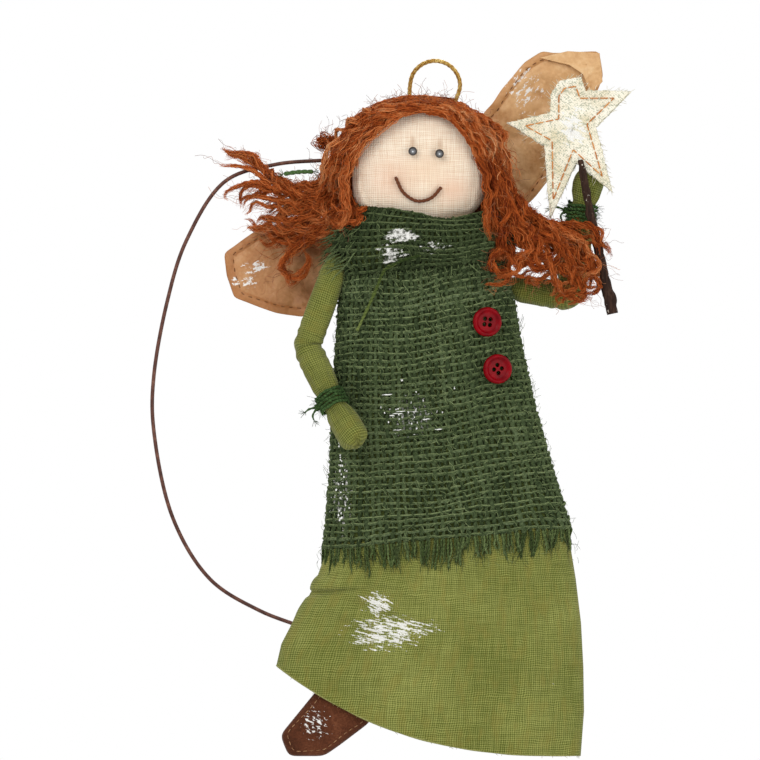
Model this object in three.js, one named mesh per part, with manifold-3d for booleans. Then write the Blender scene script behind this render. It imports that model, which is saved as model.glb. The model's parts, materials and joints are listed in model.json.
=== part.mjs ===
// Rag-doll angel to hang up: stuffed cloth figure with nested garments, bendable arms, a star wand,
// cloth wings and a wire bow. Millimetres, +X right, +Z up, front towards -Y. The origin is the
// inside top of the hanging loop, and a drop is a distance below it.
import * as THREE from 'three';
import { mergeVertices } from 'three/addons/utils/BufferGeometryUtils.js';
import Module from 'manifold-3d';

const wasm = await Module();
wasm.setup();

// Clearances
const FIT_GAP = 0.3; // pieces that rest on each other
const CLOTH_GAP = 0.4; // layers of clothing
const MOVING_GAP = 0.5; // a limb and what it swings past
const ELBOW_GAP = 0.8; // round the rounded top of a forearm

// Head
const HEAD_WIDTH = 40.6;
const HEAD_HEIGHT = 36.8;
const HEAD_DEPTH = 18;
const HEAD_SIDE = -4.85; // centre, to the right of the hanging point
const HEAD_FRONT = 1; // centre, in front of the hanging point
const HEAD_DROP = 31.4; // centre
const EYE_DIAMETER = 2.7;
const EYE_SINK = 0.75; // how far a bead is pulled into the cloth
const EYES = [ // from the head's centre
  { name: 'left_eye', side: -1.85, rise: 4.4 },
  { name: 'right_eye', side: 6.15, rise: 3.7 },
];
const MOUTH_THREAD = 0.9; // diameter
const SMILE = [[-6.95, -3.5], [-4.6, -8], [-0.5, -10.5], [3.6, -9.6], [6.75, -6.3]]; // from the head's centre

// Hair
const CROWN_SIDE_THICKNESS = 4.7;
const CROWN_TOP_THICKNESS = 3.4;
const CROWN_BACK_THICKNESS = 2.6;
const CROWN_HALF_HEIGHT = 17.5;
const CROWN_SKIRTING = 8; // the crown's lower edge, below its widest level
const FACE_WIDTH = 35; // bare face between the hair
const FACE_RISE = 15.2; // hair line above the head's centre
const LOCKS = 6; // grooves round a bunch
const LOCK_DEPTH = 0.07; // share of the bunch's radius
const LEFT_BUNCH = [ // from the head outwards: x, then lowest, highest, front and back
  { at: -18, low: -36, high: -18, front: -1, back: 6 },
  { at: -27, low: -58, high: -22, front: 1.4, back: 6.2 },
  { at: -34, low: -65, high: -26, front: 2.6, back: 6.2 },
  { at: -42, low: -59, high: -28, front: 2.6, back: 6.2 },
  { at: -50, low: -53, high: -28, front: 2.4, back: 6.2 },
  { at: -58, low: -48, high: -29, front: 2.4, back: 6 },
  { at: -64, low: -42, high: -34, front: 3, back: 5.4 },
];
const RIGHT_BUNCH = [ // from the temple down: z, then left, right, front and back
  { at: -21, low: 8, high: 16, front: -5, back: 3 },
  { at: -26, low: 10, high: 22.5, front: -7, back: 5.5 },
  { at: -36, low: 13, high: 27, front: -8, back: 5 },
  { at: -46, low: 15, high: 31, front: -9, back: 1 },
  { at: -52, low: 17, high: 40, front: -9.6, back: -2 },
  { at: -60, low: 18, high: 44, front: -10, back: -2 },
  { at: -68, low: 20, high: 43, front: -9.6, back: -2 },
  { at: -74, low: 24, high: 38, front: -8.6, back: -3 },
  { at: -77, low: 28, high: 34, front: -7.2, back: -4.4 },
];
const HAIR_YARN_DIAMETER = 1.1;
const HAIR_YARN = [[-45, -34.4], [-41, -33.2], [-36.6, -33.8]]; // x and z along the yarn

// Hanging loop
const LOOP_CORD = 1.5; // diameter
const LOOP_WIDTH = 16.4; // of the bow, centre to centre
const LOOP_LEAN = 0.3; // middle of the bow, left of the hanging point
const LOOP_TURN_IN = 2.6; // right foot, nearer the middle than the bow above it

// Tunic, a tube of open cloth: edges left and right of the hanging point and half depth at each drop
const TUNIC_RINGS = [
  { drop: 48, left: 25, right: 19.5, halfDepth: 8.6 },
  { drop: 60, left: 28.5, right: 22.3, halfDepth: 9.5 },
  { drop: 83.4, left: 30, right: 26.1, halfDepth: 9.8 },
  { drop: 104, left: 31.3, right: 30.6, halfDepth: 9.6 },
  { drop: 125, left: 32.1, right: 36.6, halfDepth: 9.6 },
  { drop: 139, left: 33.3, right: 41.1, halfDepth: 9.9 },
  { drop: 147, left: 34.1, right: 42.3, halfDepth: 10.2 },
  { drop: 155, left: 36.9, right: 43.6, halfDepth: 10.6 },
];
const TUNIC_THICKNESS = 1.1;
const HEM_DROP = 142; // middle of the hem
const HEM_SLANT = 3.2; // the hem's rise at the right and fall at the left
const FRINGE_LENGTH = 8.4;
const FRINGE_NOTCH = 2.4; // length left between two tufts of fringe

// Collar, a cowl over the tunic's neck: outward bulge at steps from its top to its lower edge
const COLLAR_DROP = 44.5;
const COLLAR_HEIGHT = 16.5;
const COLLAR_SLANT = 2.6; // lower at the left than at the right
const COLLAR_THICKNESS = 1.2;
const COLLAR_BULGE = [0.2, 1.5, 1.9, 1.2, 0];

// Skirt: edges left and right of the hanging point and half depth from the tunic's hem to the skirt's
const SKIRT_THICKNESS = 0.6;
const SKIRT_TOP_DROP = 128;
const SKIRT_FLARE_DROP = 155; // where the skirt comes clear of the tunic's fringe
const SKIRT_RINGS = [
  { left: 39, right: 43.7, halfDepth: 9 },
  { left: 42.6, right: 44.4, halfDepth: 8.8 },
  { left: 46, right: 44.6, halfDepth: 8.6 },
  { left: 47.5, right: 43.6, halfDepth: 8.4 },
];
const SKIRT_LEFT_DROP = 181.2;
const SKIRT_RIGHT_DROP = 208.1;
const SKIRT_HEM_CURVE = 2.6; // how soon the hem levels out towards the right
const FOLDS = 7; // round the hem
const FOLD_DEPTH = 0.16; // share of the half depth at the hem

// Buttons
const BUTTON_DIAMETER = 8.9;
const BUTTON_THICKNESS = 1.9;
const BUTTON_RIM = 1.2; // width
const BUTTON_DISH = 0.6; // depth inside the rim
const BUTTON_HOLE = 1.3; // diameter
const BUTTON_HOLE_SPACING = 2.4;
const BUTTONS = [
  { name: 'upper_button', side: 15.2, drop: 78, turn: 38 },
  { name: 'lower_button', side: 18.3, drop: 92.1, turn: 8 },
];

// Arms, stuffed sleeves with a wire core
const UPPER_ARM_DIAMETER = 8;
const FOREARM_DIAMETER = 8.4;
const WRIST_DIAMETER = 7;
const HAND_DIAMETER = 9.4;
const HAND_LENGTH = 14.4; // past the wrist
const ARM_WIRE = 1.2; // diameter
const SHOULDER_OUT = 1.2; // shoulder's centre outside the tunic's edge
const LEFT_SHOULDER_DROP = 60.9;
const LEFT_SHOULDER_FRONT = 2;
const LEFT_UPPER_LENGTH = 25.8;
const LEFT_UPPER_TURN = 19.7;
const LEFT_ELBOW_BEND = -44.6;
const LEFT_WRIST = 19.4; // from the elbow
const RIGHT_SHOULDER_DROP = 68;
const RIGHT_SHOULDER_BACK = 3;
const RIGHT_UPPER_LENGTH = 15.8;
const RIGHT_UPPER_TURN = -80.9;
const RIGHT_ELBOW_BEND = -90.9;
const RIGHT_WRIST = 25.6; // from the elbow
const LEFT_SHOULDER_RANGE = [0, 60];
const LEFT_HAND_EASE = 9; // degrees the left hand could swing in before it touched the tunic
const RIGHT_SHOULDER_RANGE = [0, 40];

// Cuffs, yarn wound on the wrists
const YARN = 1.1; // diameter
const CUFF_TURNS = 3;
const CUFF_PITCH = 1.6;
const CUFF_TAIL = 3.4;

// Wand
const TWIG_TOP_DIAMETER = 1.9;
const TWIG_BUTT_DIAMETER = 3.5;
const TWIG_KNOB = 0.7; // how far the knob stands out
const TWIG_ROUTE = [[43.5, -29.4], [45.1, -38], [48.6, -55], [53.1, -75.6]]; // x and z along the twig
const STAR_CLOTH = 0.6; // thickness of one layer
const STAR = [ // tip and notch in turn, from the left tip; the top tip is cut off blunt
  [21.6, -18.3], [34.8, -15], [35.2, -5.6], [42.6, -4.8], [45.9, -8.6], [58.2, -8.7],
  [48.3, -19.5], [53.1, -39], [42.3, -30.3], [34.4, -47], [32.7, -25.2],
];

// Leg and shoe
const HIP_SIDE = 6;
const HIP_DROP = 146;
const LEG_TURN = 35.6;
const LEG_LENGTH = 66;
const HIP_DIAMETER = 10;
const KNEE_DIAMETER = 8.4;
const ANKLE_DIAMETER = 4.8;
const FOOT_DIAMETER = 3.4;
const SHOE_PANEL = 0.9; // thickness
const SHOE_SWELL = 3.4; // from the seam to the outside of a panel
const SHOE_HALF_HEIGHT = 9; // from the middle of a panel to its edge
const SHOE = [ // toe, sole, heel and the top hidden in the skirt
  [-35.1, -189], [-45.6, -203.4], [-42.9, -207.3], [-34.8, -207.3], [-28.8, -204], [-20.1, -197.7],
  [-17, -190.5], [-26, -183],
];

// Wings
const WING_CLOTH = 0.8;
const WING_HEM = 2.7; // width
const WING_HEM_THICKNESS = 1.6;
const LEFT_WING = [ // from the root's lower corner, round the tip, to its upper corner
  [-9.6, -63.8], [-33, -71.8], [-42, -75.4], [-54, -73], [-60.9, -69.9], [-63.2, -63.6], [-62.4, -59.4],
  [-54.9, -51.6], [-40.5, -46.6], [-11.4, -52],
];
const RIGHT_WING = [ // from the root's upper corner, round the tip, to its lower corner
  [5.6, -46.9], [11.6, -24], [17.7, -10.5], [26.6, 0.2], [33, 3.3], [41, 3.9], [49.3, 3.2], [50.3, -4],
  [46.5, -14.4], [39.8, -28], [30, -40.6], [15.4, -53.9],
];

// Wire bow
const BOW_WIRE = 1.2; // diameter
const BOW_BACK = 7.5; // behind the hanging point
const BOW_TOP_RISE = 2.4; // upper end above the head's centre
const BOW_FOOT_ANGLE = 157; // lower end, round the skirt from its right edge
const BOW_FOOT_RING = 2; // lower end, counted in skirt rings below the flare
const BOW_ROUTE = [ // x and z between the two ends
  [-34.5, -29.4], [-48, -30.6], [-63, -35.6], [-74.7, -53.4], [-80.4, -71.4], [-84.6, -95],
  [-84.6, -110], [-78.6, -137.4], [-67.5, -155.4], [-53, -164.6],
];

// Facets
const BODY_SIDES = 32;
const TUNIC_SIDES = 40;
const LIMB_SIDES = 12;
const HAIR_SIDES = 18;
const CORD_SIDES = 8;
const THIN_SIDES = 6;
const YARN_STEPS = 20; // to a turn

// Finishes
const finish = (color, roughness, metalness = 0) => ({ color, roughness, metalness });
const MUSLIN = finish(0xe7cfb0, 0.9);
const BEAD = finish(0x2c2622, 0.2);
const THREAD = finish(0x6b3f27, 0.8);
const JUTE = finish(0x8a4520, 0.85);
const GOLD = finish(0xb0925a, 0.35, 0.8);
const BURLAP = finish(0x3d482d, 0.95);
const OLIVE = finish(0x7a7c40, 0.9);
const RED = finish(0x8e1b28, 0.3);
const YARN_GREEN = finish(0x384a2c, 0.95);
const BARK = finish(0x48371e, 0.9);
const STAR_CREAM = finish(0xeee7ce, 0.85);
const SHOE_BROWN = finish(0x5e3c2c, 0.8);
const WING_BROWN = finish(0xa57246, 0.6);
const WIRE_BROWN = finish(0x5b392f, 0.5, 0.4);
const STEEL = finish(0x8c8c8a, 0.4, 0.9);

// Solids from rings of points

const point = (x, y, z) => new THREE.Vector3(x, y, z);
const radians = THREE.MathUtils.degToRad;
const mix = THREE.MathUtils.lerp;
const turns = (count) => Array.from({ length: count }, (_, i) => (2 * Math.PI * i) / count);

function middleOf(ring) {
  const sum = ring.reduce((total, corner) => total.add(corner), point(0, 0, 0));
  return sum.divideScalar(ring.length);
}

function geometryFrom(corners, faces) {
  let volume = 0;
  for (let i = 0; i < faces.length; i += 3) {
    const [a, b, c] = [0, 1, 2].map((k) => corners[faces[i + k]]);
    volume += a.dot(b.clone().cross(c));
  }
  const order = volume < 0 ? faces.slice().reverse() : faces;
  const geometry = new THREE.BufferGeometry();
  geometry.setAttribute('position', new THREE.Float32BufferAttribute(corners.flatMap((p) => p.toArray()), 3));
  geometry.setIndex(order);
  return geometry;
}

function addBand(faces, upper, lower, count) {
  for (let i = 0; i < count; i += 1) {
    const next = (i + 1) % count;
    faces.push(upper + i, lower + i, lower + next);
    faces.push(upper + i, lower + next, upper + next);
  }
}

// A skin over rings of equal count, closed at each end by a fan.
function loft(rings) {
  const count = rings[0].length;
  const last = (rings.length - 1) * count;
  const corners = rings.flat();
  const first = corners.length;
  corners.push(middleOf(rings[0]), middleOf(rings[rings.length - 1]));
  const faces = [];
  for (let row = 0; row + 1 < rings.length; row += 1) {
    addBand(faces, row * count, (row + 1) * count, count);
  }
  for (let i = 0; i < count; i += 1) {
    const next = (i + 1) % count;
    faces.push(first, i, next);
    faces.push(first + 1, last + next, last + i);
  }
  return geometryFrom(corners, faces);
}

// A cloth tube: outer and inner skin, joined along the upper and the lower edge.
function clothTube(outer, inner) {
  const count = outer[0].length;
  const lowest = (outer.length - 1) * count;
  const inside = outer.length * count;
  const faces = [];
  for (let row = 0; row + 1 < outer.length; row += 1) {
    addBand(faces, row * count, (row + 1) * count, count);
    addBand(faces, inside + (row + 1) * count, inside + row * count, count);
  }
  addBand(faces, inside, 0, count);
  addBand(faces, lowest, inside + lowest, count);
  return geometryFrom([...outer.flat(), ...inner.flat()], faces);
}

function cordAlong(route, diameter, sides, steps) {
  const section = new THREE.Shape(turns(sides).map((turn) => new THREE.Vector2(
    (diameter / 2) * Math.cos(turn),
    (diameter / 2) * Math.sin(turn),
  )));
  const extrudePath = new THREE.CatmullRomCurve3(route, false, 'centripetal');
  return new THREE.ExtrudeGeometry(section, { steps, bevelEnabled: false, extrudePath });
}

function ellipsoid(centre, halfWidth, halfDepth, halfHeight, sides, rows) {
  const rings = [];
  for (let row = 1; row < rows; row += 1) {
    const tilt = (Math.PI * row) / rows;
    rings.push(turns(sides).map((turn) => point(
      centre.x + halfWidth * Math.sin(tilt) * Math.cos(turn),
      centre.y + halfDepth * Math.sin(tilt) * Math.sin(turn),
      centre.z + halfHeight * Math.cos(tilt),
    )));
  }
  const body = loft(rings);
  const places = body.getAttribute('position');
  places.setZ(places.count - 2, centre.z + halfHeight);
  places.setZ(places.count - 1, centre.z - halfHeight);
  return body;
}

// A flat outline in the XZ plane, given thickness towards the back from its front face.
function plate(outline, front, thickness, hole = null) {
  const shape = new THREE.Shape(outline.map(([x, z]) => new THREE.Vector2(x, z)));
  if (hole) {
    shape.holes.push(new THREE.Path(hole.map(([x, z]) => new THREE.Vector2(x, z)).reverse()));
  }
  const body = new THREE.ExtrudeGeometry(shape, { depth: thickness, bevelEnabled: false });
  return body.rotateX(Math.PI / 2).translate(0, front + thickness, 0);
}

function box(low, high) {
  const size = high.clone().sub(low);
  const centre = low.clone().add(high).multiplyScalar(0.5);
  return new THREE.BoxGeometry(size.x, size.y, size.z).translate(centre.x, centre.y, centre.z);
}

// Joining and cutting

function solidOf(geometry) {
  const bare = new THREE.BufferGeometry();
  bare.setAttribute('position', geometry.getAttribute('position').clone());
  bare.setIndex(geometry.getIndex() ? geometry.getIndex().clone() : null);
  const welded = mergeVertices(bare, 1e-4);
  const faces = [];
  const corners = welded.getIndex().array;
  for (let i = 0; i < corners.length; i += 3) {
    const [a, b, c] = corners.slice(i, i + 3);
    if (a !== b && b !== c && c !== a) {
      faces.push(a, b, c);
    }
  }
  return new wasm.Manifold(new wasm.Mesh({
    numProp: 3,
    vertProperties: Float32Array.from(welded.getAttribute('position').array),
    triVerts: Uint32Array.from(faces),
  }));
}

function geometryOf(solid) {
  const { vertProperties, triVerts } = solid.getMesh();
  const geometry = new THREE.BufferGeometry();
  geometry.setAttribute('position', new THREE.BufferAttribute(vertProperties, 3));
  geometry.setIndex(new THREE.BufferAttribute(triVerts, 1));
  return geometry;
}

function cut(geometry, ...tools) {
  return geometryOf(tools.reduce((solid, tool) => solid.subtract(solidOf(tool)), solidOf(geometry)));
}

function join(geometry, other) {
  return geometryOf(solidOf(geometry).add(solidOf(other)));
}

// Scene graph

function piece(name, geometry, look) {
  const mesh = new THREE.Mesh(geometry, new THREE.MeshStandardMaterial(look));
  mesh.name = name;
  return mesh;
}

function swingGroup(place, turn, tilt = 0) {
  const group = new THREE.Group();
  group.position.copy(place);
  group.rotation.set(tilt, radians(turn), 0, 'YXZ');
  group.updateMatrix();
  return group;
}

const angel = new THREE.Group();

// Head surface
const headCentre = point(HEAD_SIDE, -HEAD_FRONT, -HEAD_DROP);

function headBody(grow, sides, rows) {
  const [wide, deep, high] = [HEAD_WIDTH, HEAD_DEPTH, HEAD_HEIGHT].map((size) => size / 2 + grow);
  return ellipsoid(headCentre, wide, deep, high, sides, rows);
}

const headRoom = headBody(FIT_GAP, 24, 14);

function faceFront(side, rise, out) {
  const across = side / (HEAD_WIDTH / 2);
  const up = rise / (HEAD_HEIGHT / 2);
  const depth = (HEAD_DEPTH / 2) * Math.sqrt(1 - across * across - up * up);
  return point(headCentre.x + side, headCentre.y - depth - out, headCentre.z + rise);
}

// Section of the dressed body at a height, and points on it
function sectionAt(z) {
  let row = 1;
  while (row < TUNIC_RINGS.length - 1 && TUNIC_RINGS[row].drop < -z) {
    row += 1;
  }
  const upper = TUNIC_RINGS[row - 1];
  const lower = TUNIC_RINGS[row];
  const share = (-z - upper.drop) / (lower.drop - upper.drop);
  const left = mix(upper.left, lower.left, share);
  const right = mix(upper.right, lower.right, share);
  const halfDepth = mix(upper.halfDepth, lower.halfDepth, share);
  return { left, right, halfDepth, middle: (right - left) / 2, halfWidth: (right + left) / 2 };
}

function bodyPoint(turn, z, out) {
  const { middle, halfWidth, halfDepth } = sectionAt(z);
  return point(middle + (halfWidth + out) * Math.cos(turn), (halfDepth + out) * Math.sin(turn), z);
}

function bodyDepth(x, z, out) {
  const { middle, halfWidth, halfDepth } = sectionAt(z);
  const across = Math.min(1, Math.abs(x - middle) / (halfWidth + out));
  return (halfDepth + out) * Math.sqrt(1 - across * across);
}

const bodyRing = (z, out, sides) => turns(sides).map((turn) => bodyPoint(turn, z, out));
const skirtInset = TUNIC_THICKNESS + CLOTH_GAP;
const torsoInset = skirtInset + SKIRT_THICKNESS + CLOTH_GAP;

// Arms: a revolved sleeve hanging from its upper joint along -Z
function sleeve(stations, grow) {
  const [first, last] = [stations[0], stations[stations.length - 1]];
  const domes = [75, 50, 25].map(radians);
  const rows = [
    ...domes.map((lift) => [first[0] - first[1] * Math.sin(lift), first[1] * Math.cos(lift)]),
    ...stations,
    ...domes.reverse().map((lift) => [last[0] + last[1] * Math.sin(lift), last[1] * Math.cos(lift)]),
  ];
  const middle = (first[0] + last[0]) / 2;
  return loft(rows.map(([along, radius]) => turns(LIMB_SIDES).map((turn) => point(
    (radius + grow) * Math.cos(turn),
    (radius + grow) * Math.sin(turn),
    -along - grow * Math.sign(along - middle),
  ))));
}

const upperStations = (length) => [
  [0, UPPER_ARM_DIAMETER / 2 - 0.3],
  [length * 0.4, UPPER_ARM_DIAMETER / 2 + 0.15],
  [length, UPPER_ARM_DIAMETER / 2],
];
const cuffHalf = (CUFF_TURNS * CUFF_PITCH) / 2 + YARN;
const forearmStations = (wrist) => [
  [0, FOREARM_DIAMETER / 2 - 0.2],
  [wrist * 0.45, FOREARM_DIAMETER / 2],
  [wrist - cuffHalf - 1, FOREARM_DIAMETER / 2 - 0.3],
  [wrist - cuffHalf, WRIST_DIAMETER / 2],
  [wrist + cuffHalf, WRIST_DIAMETER / 2],
  [wrist + cuffHalf + 2, HAND_DIAMETER / 2 - 0.5],
  [wrist + HAND_LENGTH - HAND_DIAMETER / 2, HAND_DIAMETER / 2],
];

function coreWire(from, to, diameter) {
  const wire = new THREE.CylinderGeometry(diameter / 2, diameter / 2, to - from, CORD_SIDES);
  return wire.rotateX(Math.PI / 2).translate(0, 0, -(from + to) / 2);
}

// Room for a limb swinging about its upper end: a slot with a round end, as deep as the limb
function swingRoom(place, turn, [low, high], length, radius) {
  const [from, to] = [radians(turn + low), radians(turn + high)];
  const along = (angle) => [-Math.sin(angle), -Math.cos(angle)];
  const spot = (angle, out, side, across) => {
    const [x, z] = along(angle);
    const [acrossX, acrossZ] = along(side);
    return [place.x + out * x + across * acrossX, place.z + out * z + across * acrossZ];
  };
  const quarter = Math.PI / 2;
  const back = [0, 0.25, 0.5, 0.75, 1].map((share) => mix(from - quarter + 2 * Math.PI, to + quarter, share));
  const outline = [
    spot(to, length, to + quarter, radius),
    spot((from + to) / 2, length + radius, 0, 0),
    spot(from, length, from - quarter, radius),
    ...back.map((angle) => spot(angle, radius, 0, 0)),
  ];
  return plate(outline, place.y - radius, 2 * radius);
}

// Yarn wound on a wrist, from a straight tail to a straight end
function windingRoute(radius, from) {
  const route = [];
  for (let step = 0; step <= CUFF_TURNS * YARN_STEPS; step += 1) {
    const turn = (2 * Math.PI * step) / YARN_STEPS;
    const along = from + (CUFF_PITCH * step) / YARN_STEPS;
    route.push(point(-radius * Math.cos(turn), -radius * Math.sin(turn), -along));
  }
  const start = route[0];
  route.unshift(start.clone().add(point(-YARN * 0.3, YARN, 0)));
  route.unshift(start.clone().add(point(-CUFF_TAIL, CUFF_TAIL * 0.35, 0.4)));
  const end = route[route.length - 1];
  route.push(end.clone().add(point(0, -YARN, 0)));
  return route;
}

function leastGap(route, diameter) {
  let least = Infinity;
  const apart = YARN_STEPS / 2;
  for (let i = 0; i < route.length; i += 1) {
    for (let k = i + apart; k < route.length; k += 1) {
      least = Math.min(least, route[i].distanceTo(route[k]) - diameter);
    }
  }
  return least;
}

function makeArm(side, shoulder, size) {
  const upper = swingGroup(shoulder, size.turn);
  upper.name = `${side}_shoulder`;
  const elbow = swingGroup(point(0, 0, -size.upperLength), size.bend, size.tilt);
  elbow.name = `${side}_elbow`;
  upper.add(elbow);
  const fore = forearmStations(size.wrist);
  const bore = ARM_WIRE + 2 * FIT_GAP;
  const ball = FOREARM_DIAMETER / 2 + ELBOW_GAP;
  const elbowRoom = ellipsoid(elbow.position, ball, ball, ball, LIMB_SIDES, 8);
  const wireEnd = size.upperLength - FOREARM_DIAMETER / 2 - 1;
  const upperSleeve = cut(
    sleeve(upperStations(size.upperLength), 0),
    elbowRoom,
    sleeve(fore, MOVING_GAP).applyMatrix4(elbow.matrix),
    coreWire(0, size.upperLength, bore),
  );
  upper.add(piece(`${side}_upper_arm`, upperSleeve, OLIVE));
  upper.add(piece(`${side}_upper_arm_wire`, coreWire(FIT_GAP, wireEnd, ARM_WIRE), STEEL));
  const foreSleeve = cut(sleeve(fore, 0), coreWire(-FOREARM_DIAMETER, size.wrist, bore));
  elbow.add(piece(`${side}_forearm`, foreSleeve, OLIVE));
  const foreWire = coreWire(1 - FOREARM_DIAMETER / 2, size.wrist - FIT_GAP, ARM_WIRE);
  elbow.add(piece(`${side}_forearm_wire`, foreWire, STEEL));
  const cuffStart = size.wrist - (CUFF_TURNS * CUFF_PITCH) / 2;
  const route = windingRoute(WRIST_DIAMETER / 2 + FIT_GAP + YARN / 2, cuffStart);
  console.log(`${side}_cuff least gap to itself: ${leastGap(route, YARN).toFixed(2)} mm`);
  const cuff = cordAlong(route, YARN, THIN_SIDES, CUFF_TURNS * YARN_STEPS + 4);
  elbow.add(piece(`${side}_cuff`, cuff, YARN_GREEN));
  const armRadius = UPPER_ARM_DIAMETER / 2 + MOVING_GAP;
  const room = swingRoom(shoulder, size.turn, size.shoulderRange, size.upperLength, armRadius);
  return { upper, elbow, room };
}

// The left hand lies in front of the tunic: the forearm leans forward far enough to clear it.
const leftShoulder = bodyPoint(Math.PI, -LEFT_SHOULDER_DROP, SHOULDER_OUT).setY(-LEFT_SHOULDER_FRONT);
const leftElbowTurn = LEFT_UPPER_TURN + LEFT_ELBOW_BEND;
const leftForearm = LEFT_WRIST + HAND_LENGTH - HAND_DIAMETER / 2;
const handX = leftShoulder.x - LEFT_UPPER_LENGTH * Math.sin(radians(LEFT_UPPER_TURN))
  - leftForearm * Math.sin(radians(leftElbowTurn - LEFT_HAND_EASE));
const handZ = leftShoulder.z - LEFT_UPPER_LENGTH * Math.cos(radians(LEFT_UPPER_TURN))
  - leftForearm * Math.cos(radians(leftElbowTurn));
const handFront = bodyDepth(handX + HAND_DIAMETER / 4, handZ, 0) + MOVING_GAP + HAND_DIAMETER / 2;
const leftArm = makeArm('left', leftShoulder, {
  upperLength: LEFT_UPPER_LENGTH,
  turn: LEFT_UPPER_TURN,
  bend: LEFT_ELBOW_BEND,
  tilt: -Math.asin((handFront - LEFT_SHOULDER_FRONT) / leftForearm),
  wrist: LEFT_WRIST,
  shoulderRange: LEFT_SHOULDER_RANGE,
});
const rightShoulder = bodyPoint(0, -RIGHT_SHOULDER_DROP, SHOULDER_OUT).setY(RIGHT_SHOULDER_BACK);
const rightArm = makeArm('right', rightShoulder, {
  upperLength: RIGHT_UPPER_LENGTH,
  turn: RIGHT_UPPER_TURN,
  bend: RIGHT_ELBOW_BEND,
  tilt: 0,
  wrist: RIGHT_WRIST,
  shoulderRange: RIGHT_SHOULDER_RANGE,
});
const armRoom = [leftArm.room, rightArm.room];
angel.add(leftArm.upper, rightArm.upper);

// Leg and shoe, hanging from the hip inside the skirt
const hip = point(HIP_SIDE, 0, -HIP_DROP);
const legStations = [
  [0, HIP_DIAMETER / 2],
  [LEG_LENGTH * 0.45, KNEE_DIAMETER / 2],
  [LEG_LENGTH * 0.85, ANKLE_DIAMETER / 2],
  [LEG_LENGTH, FOOT_DIAMETER / 2],
];
const legGroup = swingGroup(hip, LEG_TURN);
legGroup.name = 'hip';
legGroup.add(piece('leg', sleeve(legStations, 0), MUSLIN));
angel.add(legGroup);

function shoeRing(scale, depth) {
  const shape = new THREE.SplineCurve([...SHOE, SHOE[0]].map(([x, z]) => new THREE.Vector2(x, z)));
  const outline = shape.getPoints(SHOE.length * 2).slice(1).map((p) => point(p.x, 0, p.y));
  const centre = middleOf(outline);
  return outline.map((p) => p.sub(centre).multiplyScalar(scale).add(centre).setY(depth));
}

function shoePanel(facing) {
  const shares = [1, 0.88, 0.66, 0.3];
  const skin = (swell, scale) => shares.map((share) => shoeRing(
    share * scale,
    facing * (FIT_GAP / 2 + swell * Math.sqrt(1 - share ** 3)),
  ));
  const inner = skin(SHOE_SWELL - SHOE_PANEL, 1 - SHOE_PANEL / SHOE_HALF_HEIGHT);
  return loft([...inner.reverse(), ...skin(SHOE_SWELL, 1)]);
}

const legRoom = sleeve(legStations, FIT_GAP).applyMatrix4(legGroup.matrix);
angel.add(piece('shoe_front', cut(shoePanel(-1), legRoom), SHOE_BROWN));
angel.add(piece('shoe_back', cut(shoePanel(1), legRoom), SHOE_BROWN));

// Torso: follows the clothes from the inside, with a seat for the head, the arms and the hip
const torsoTop = -TUNIC_RINGS[0].drop + 1;
const torsoFoot = -(HIP_DROP - 3);
const shrink = (ring, share) => {
  const centre = middleOf(ring);
  return ring.map((corner) => corner.clone().sub(centre).multiplyScalar(share).add(centre));
};
const torso = loft([
  shrink(bodyRing(torsoTop + 3, -torsoInset, BODY_SIDES), 0.45),
  shrink(bodyRing(torsoTop + 1.6, -torsoInset, BODY_SIDES), 0.8),
  bodyRing(torsoTop - 1.5, -torsoInset, BODY_SIDES),
  ...TUNIC_RINGS.slice(1, 5).map(({ drop }) => bodyRing(-drop, -torsoInset, BODY_SIDES)),
  bodyRing(torsoFoot + 6, -torsoInset - 0.6, BODY_SIDES),
  shrink(bodyRing(torsoFoot + 2, -torsoInset, BODY_SIDES), 0.8),
  shrink(bodyRing(torsoFoot, -torsoInset, BODY_SIDES), 0.45),
]);
const hipRoom = sleeve(legStations, MOVING_GAP).applyMatrix4(legGroup.matrix);
angel.add(piece('torso', cut(torso, headRoom, hipRoom, ...armRoom), MUSLIN));

// Tunic with its frayed hem and arm holes
const hemZ = (turn) => -HEM_DROP + HEM_SLANT * Math.cos(turn);

function tunicSkin(out) {
  const plain = TUNIC_RINGS.slice(0, 5).map(({ drop }) => bodyRing(-drop, out, TUNIC_SIDES));
  const hem = turns(TUNIC_SIDES).map((turn) => bodyPoint(turn, hemZ(turn), out));
  const fringe = turns(TUNIC_SIDES).map((turn, i) => {
    const length = i % 2 === 0 ? FRINGE_LENGTH : FRINGE_NOTCH;
    return bodyPoint(turn, hemZ(turn) - length, out);
  });
  return [...plain, hem, fringe];
}

const tunic = cut(clothTube(tunicSkin(0), tunicSkin(-TUNIC_THICKNESS)), headRoom, ...armRoom);
angel.add(piece('tunic', tunic, BURLAP));

// Collar
function collarSkin(out) {
  return COLLAR_BULGE.map((bulge, row) => {
    const share = row / (COLLAR_BULGE.length - 1);
    return turns(BODY_SIDES).map((turn) => {
      const slant = COLLAR_SLANT * share * Math.cos(turn);
      return bodyPoint(turn, -COLLAR_DROP - COLLAR_HEIGHT * share + slant, CLOTH_GAP + bulge + out);
    });
  });
}

const collar = clothTube(collarSkin(COLLAR_THICKNESS), collarSkin(0));
angel.add(piece('collar', cut(collar, headRoom, ...armRoom), BURLAP));
const collarRoom = loft(collarSkin(COLLAR_THICKNESS + FIT_GAP));
const tunicRoom = loft(TUNIC_RINGS.map(({ drop }) => bodyRing(-drop, FIT_GAP, BODY_SIDES)));

// Skirt: tucked under the tunic, then flaring in folds to a slanting hem
const skirtHem = (turn) => {
  const fromRight = (1 - Math.cos(turn)) / 2;
  return -mix(SKIRT_RIGHT_DROP, SKIRT_LEFT_DROP, fromRight ** SKIRT_HEM_CURVE);
};

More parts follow.
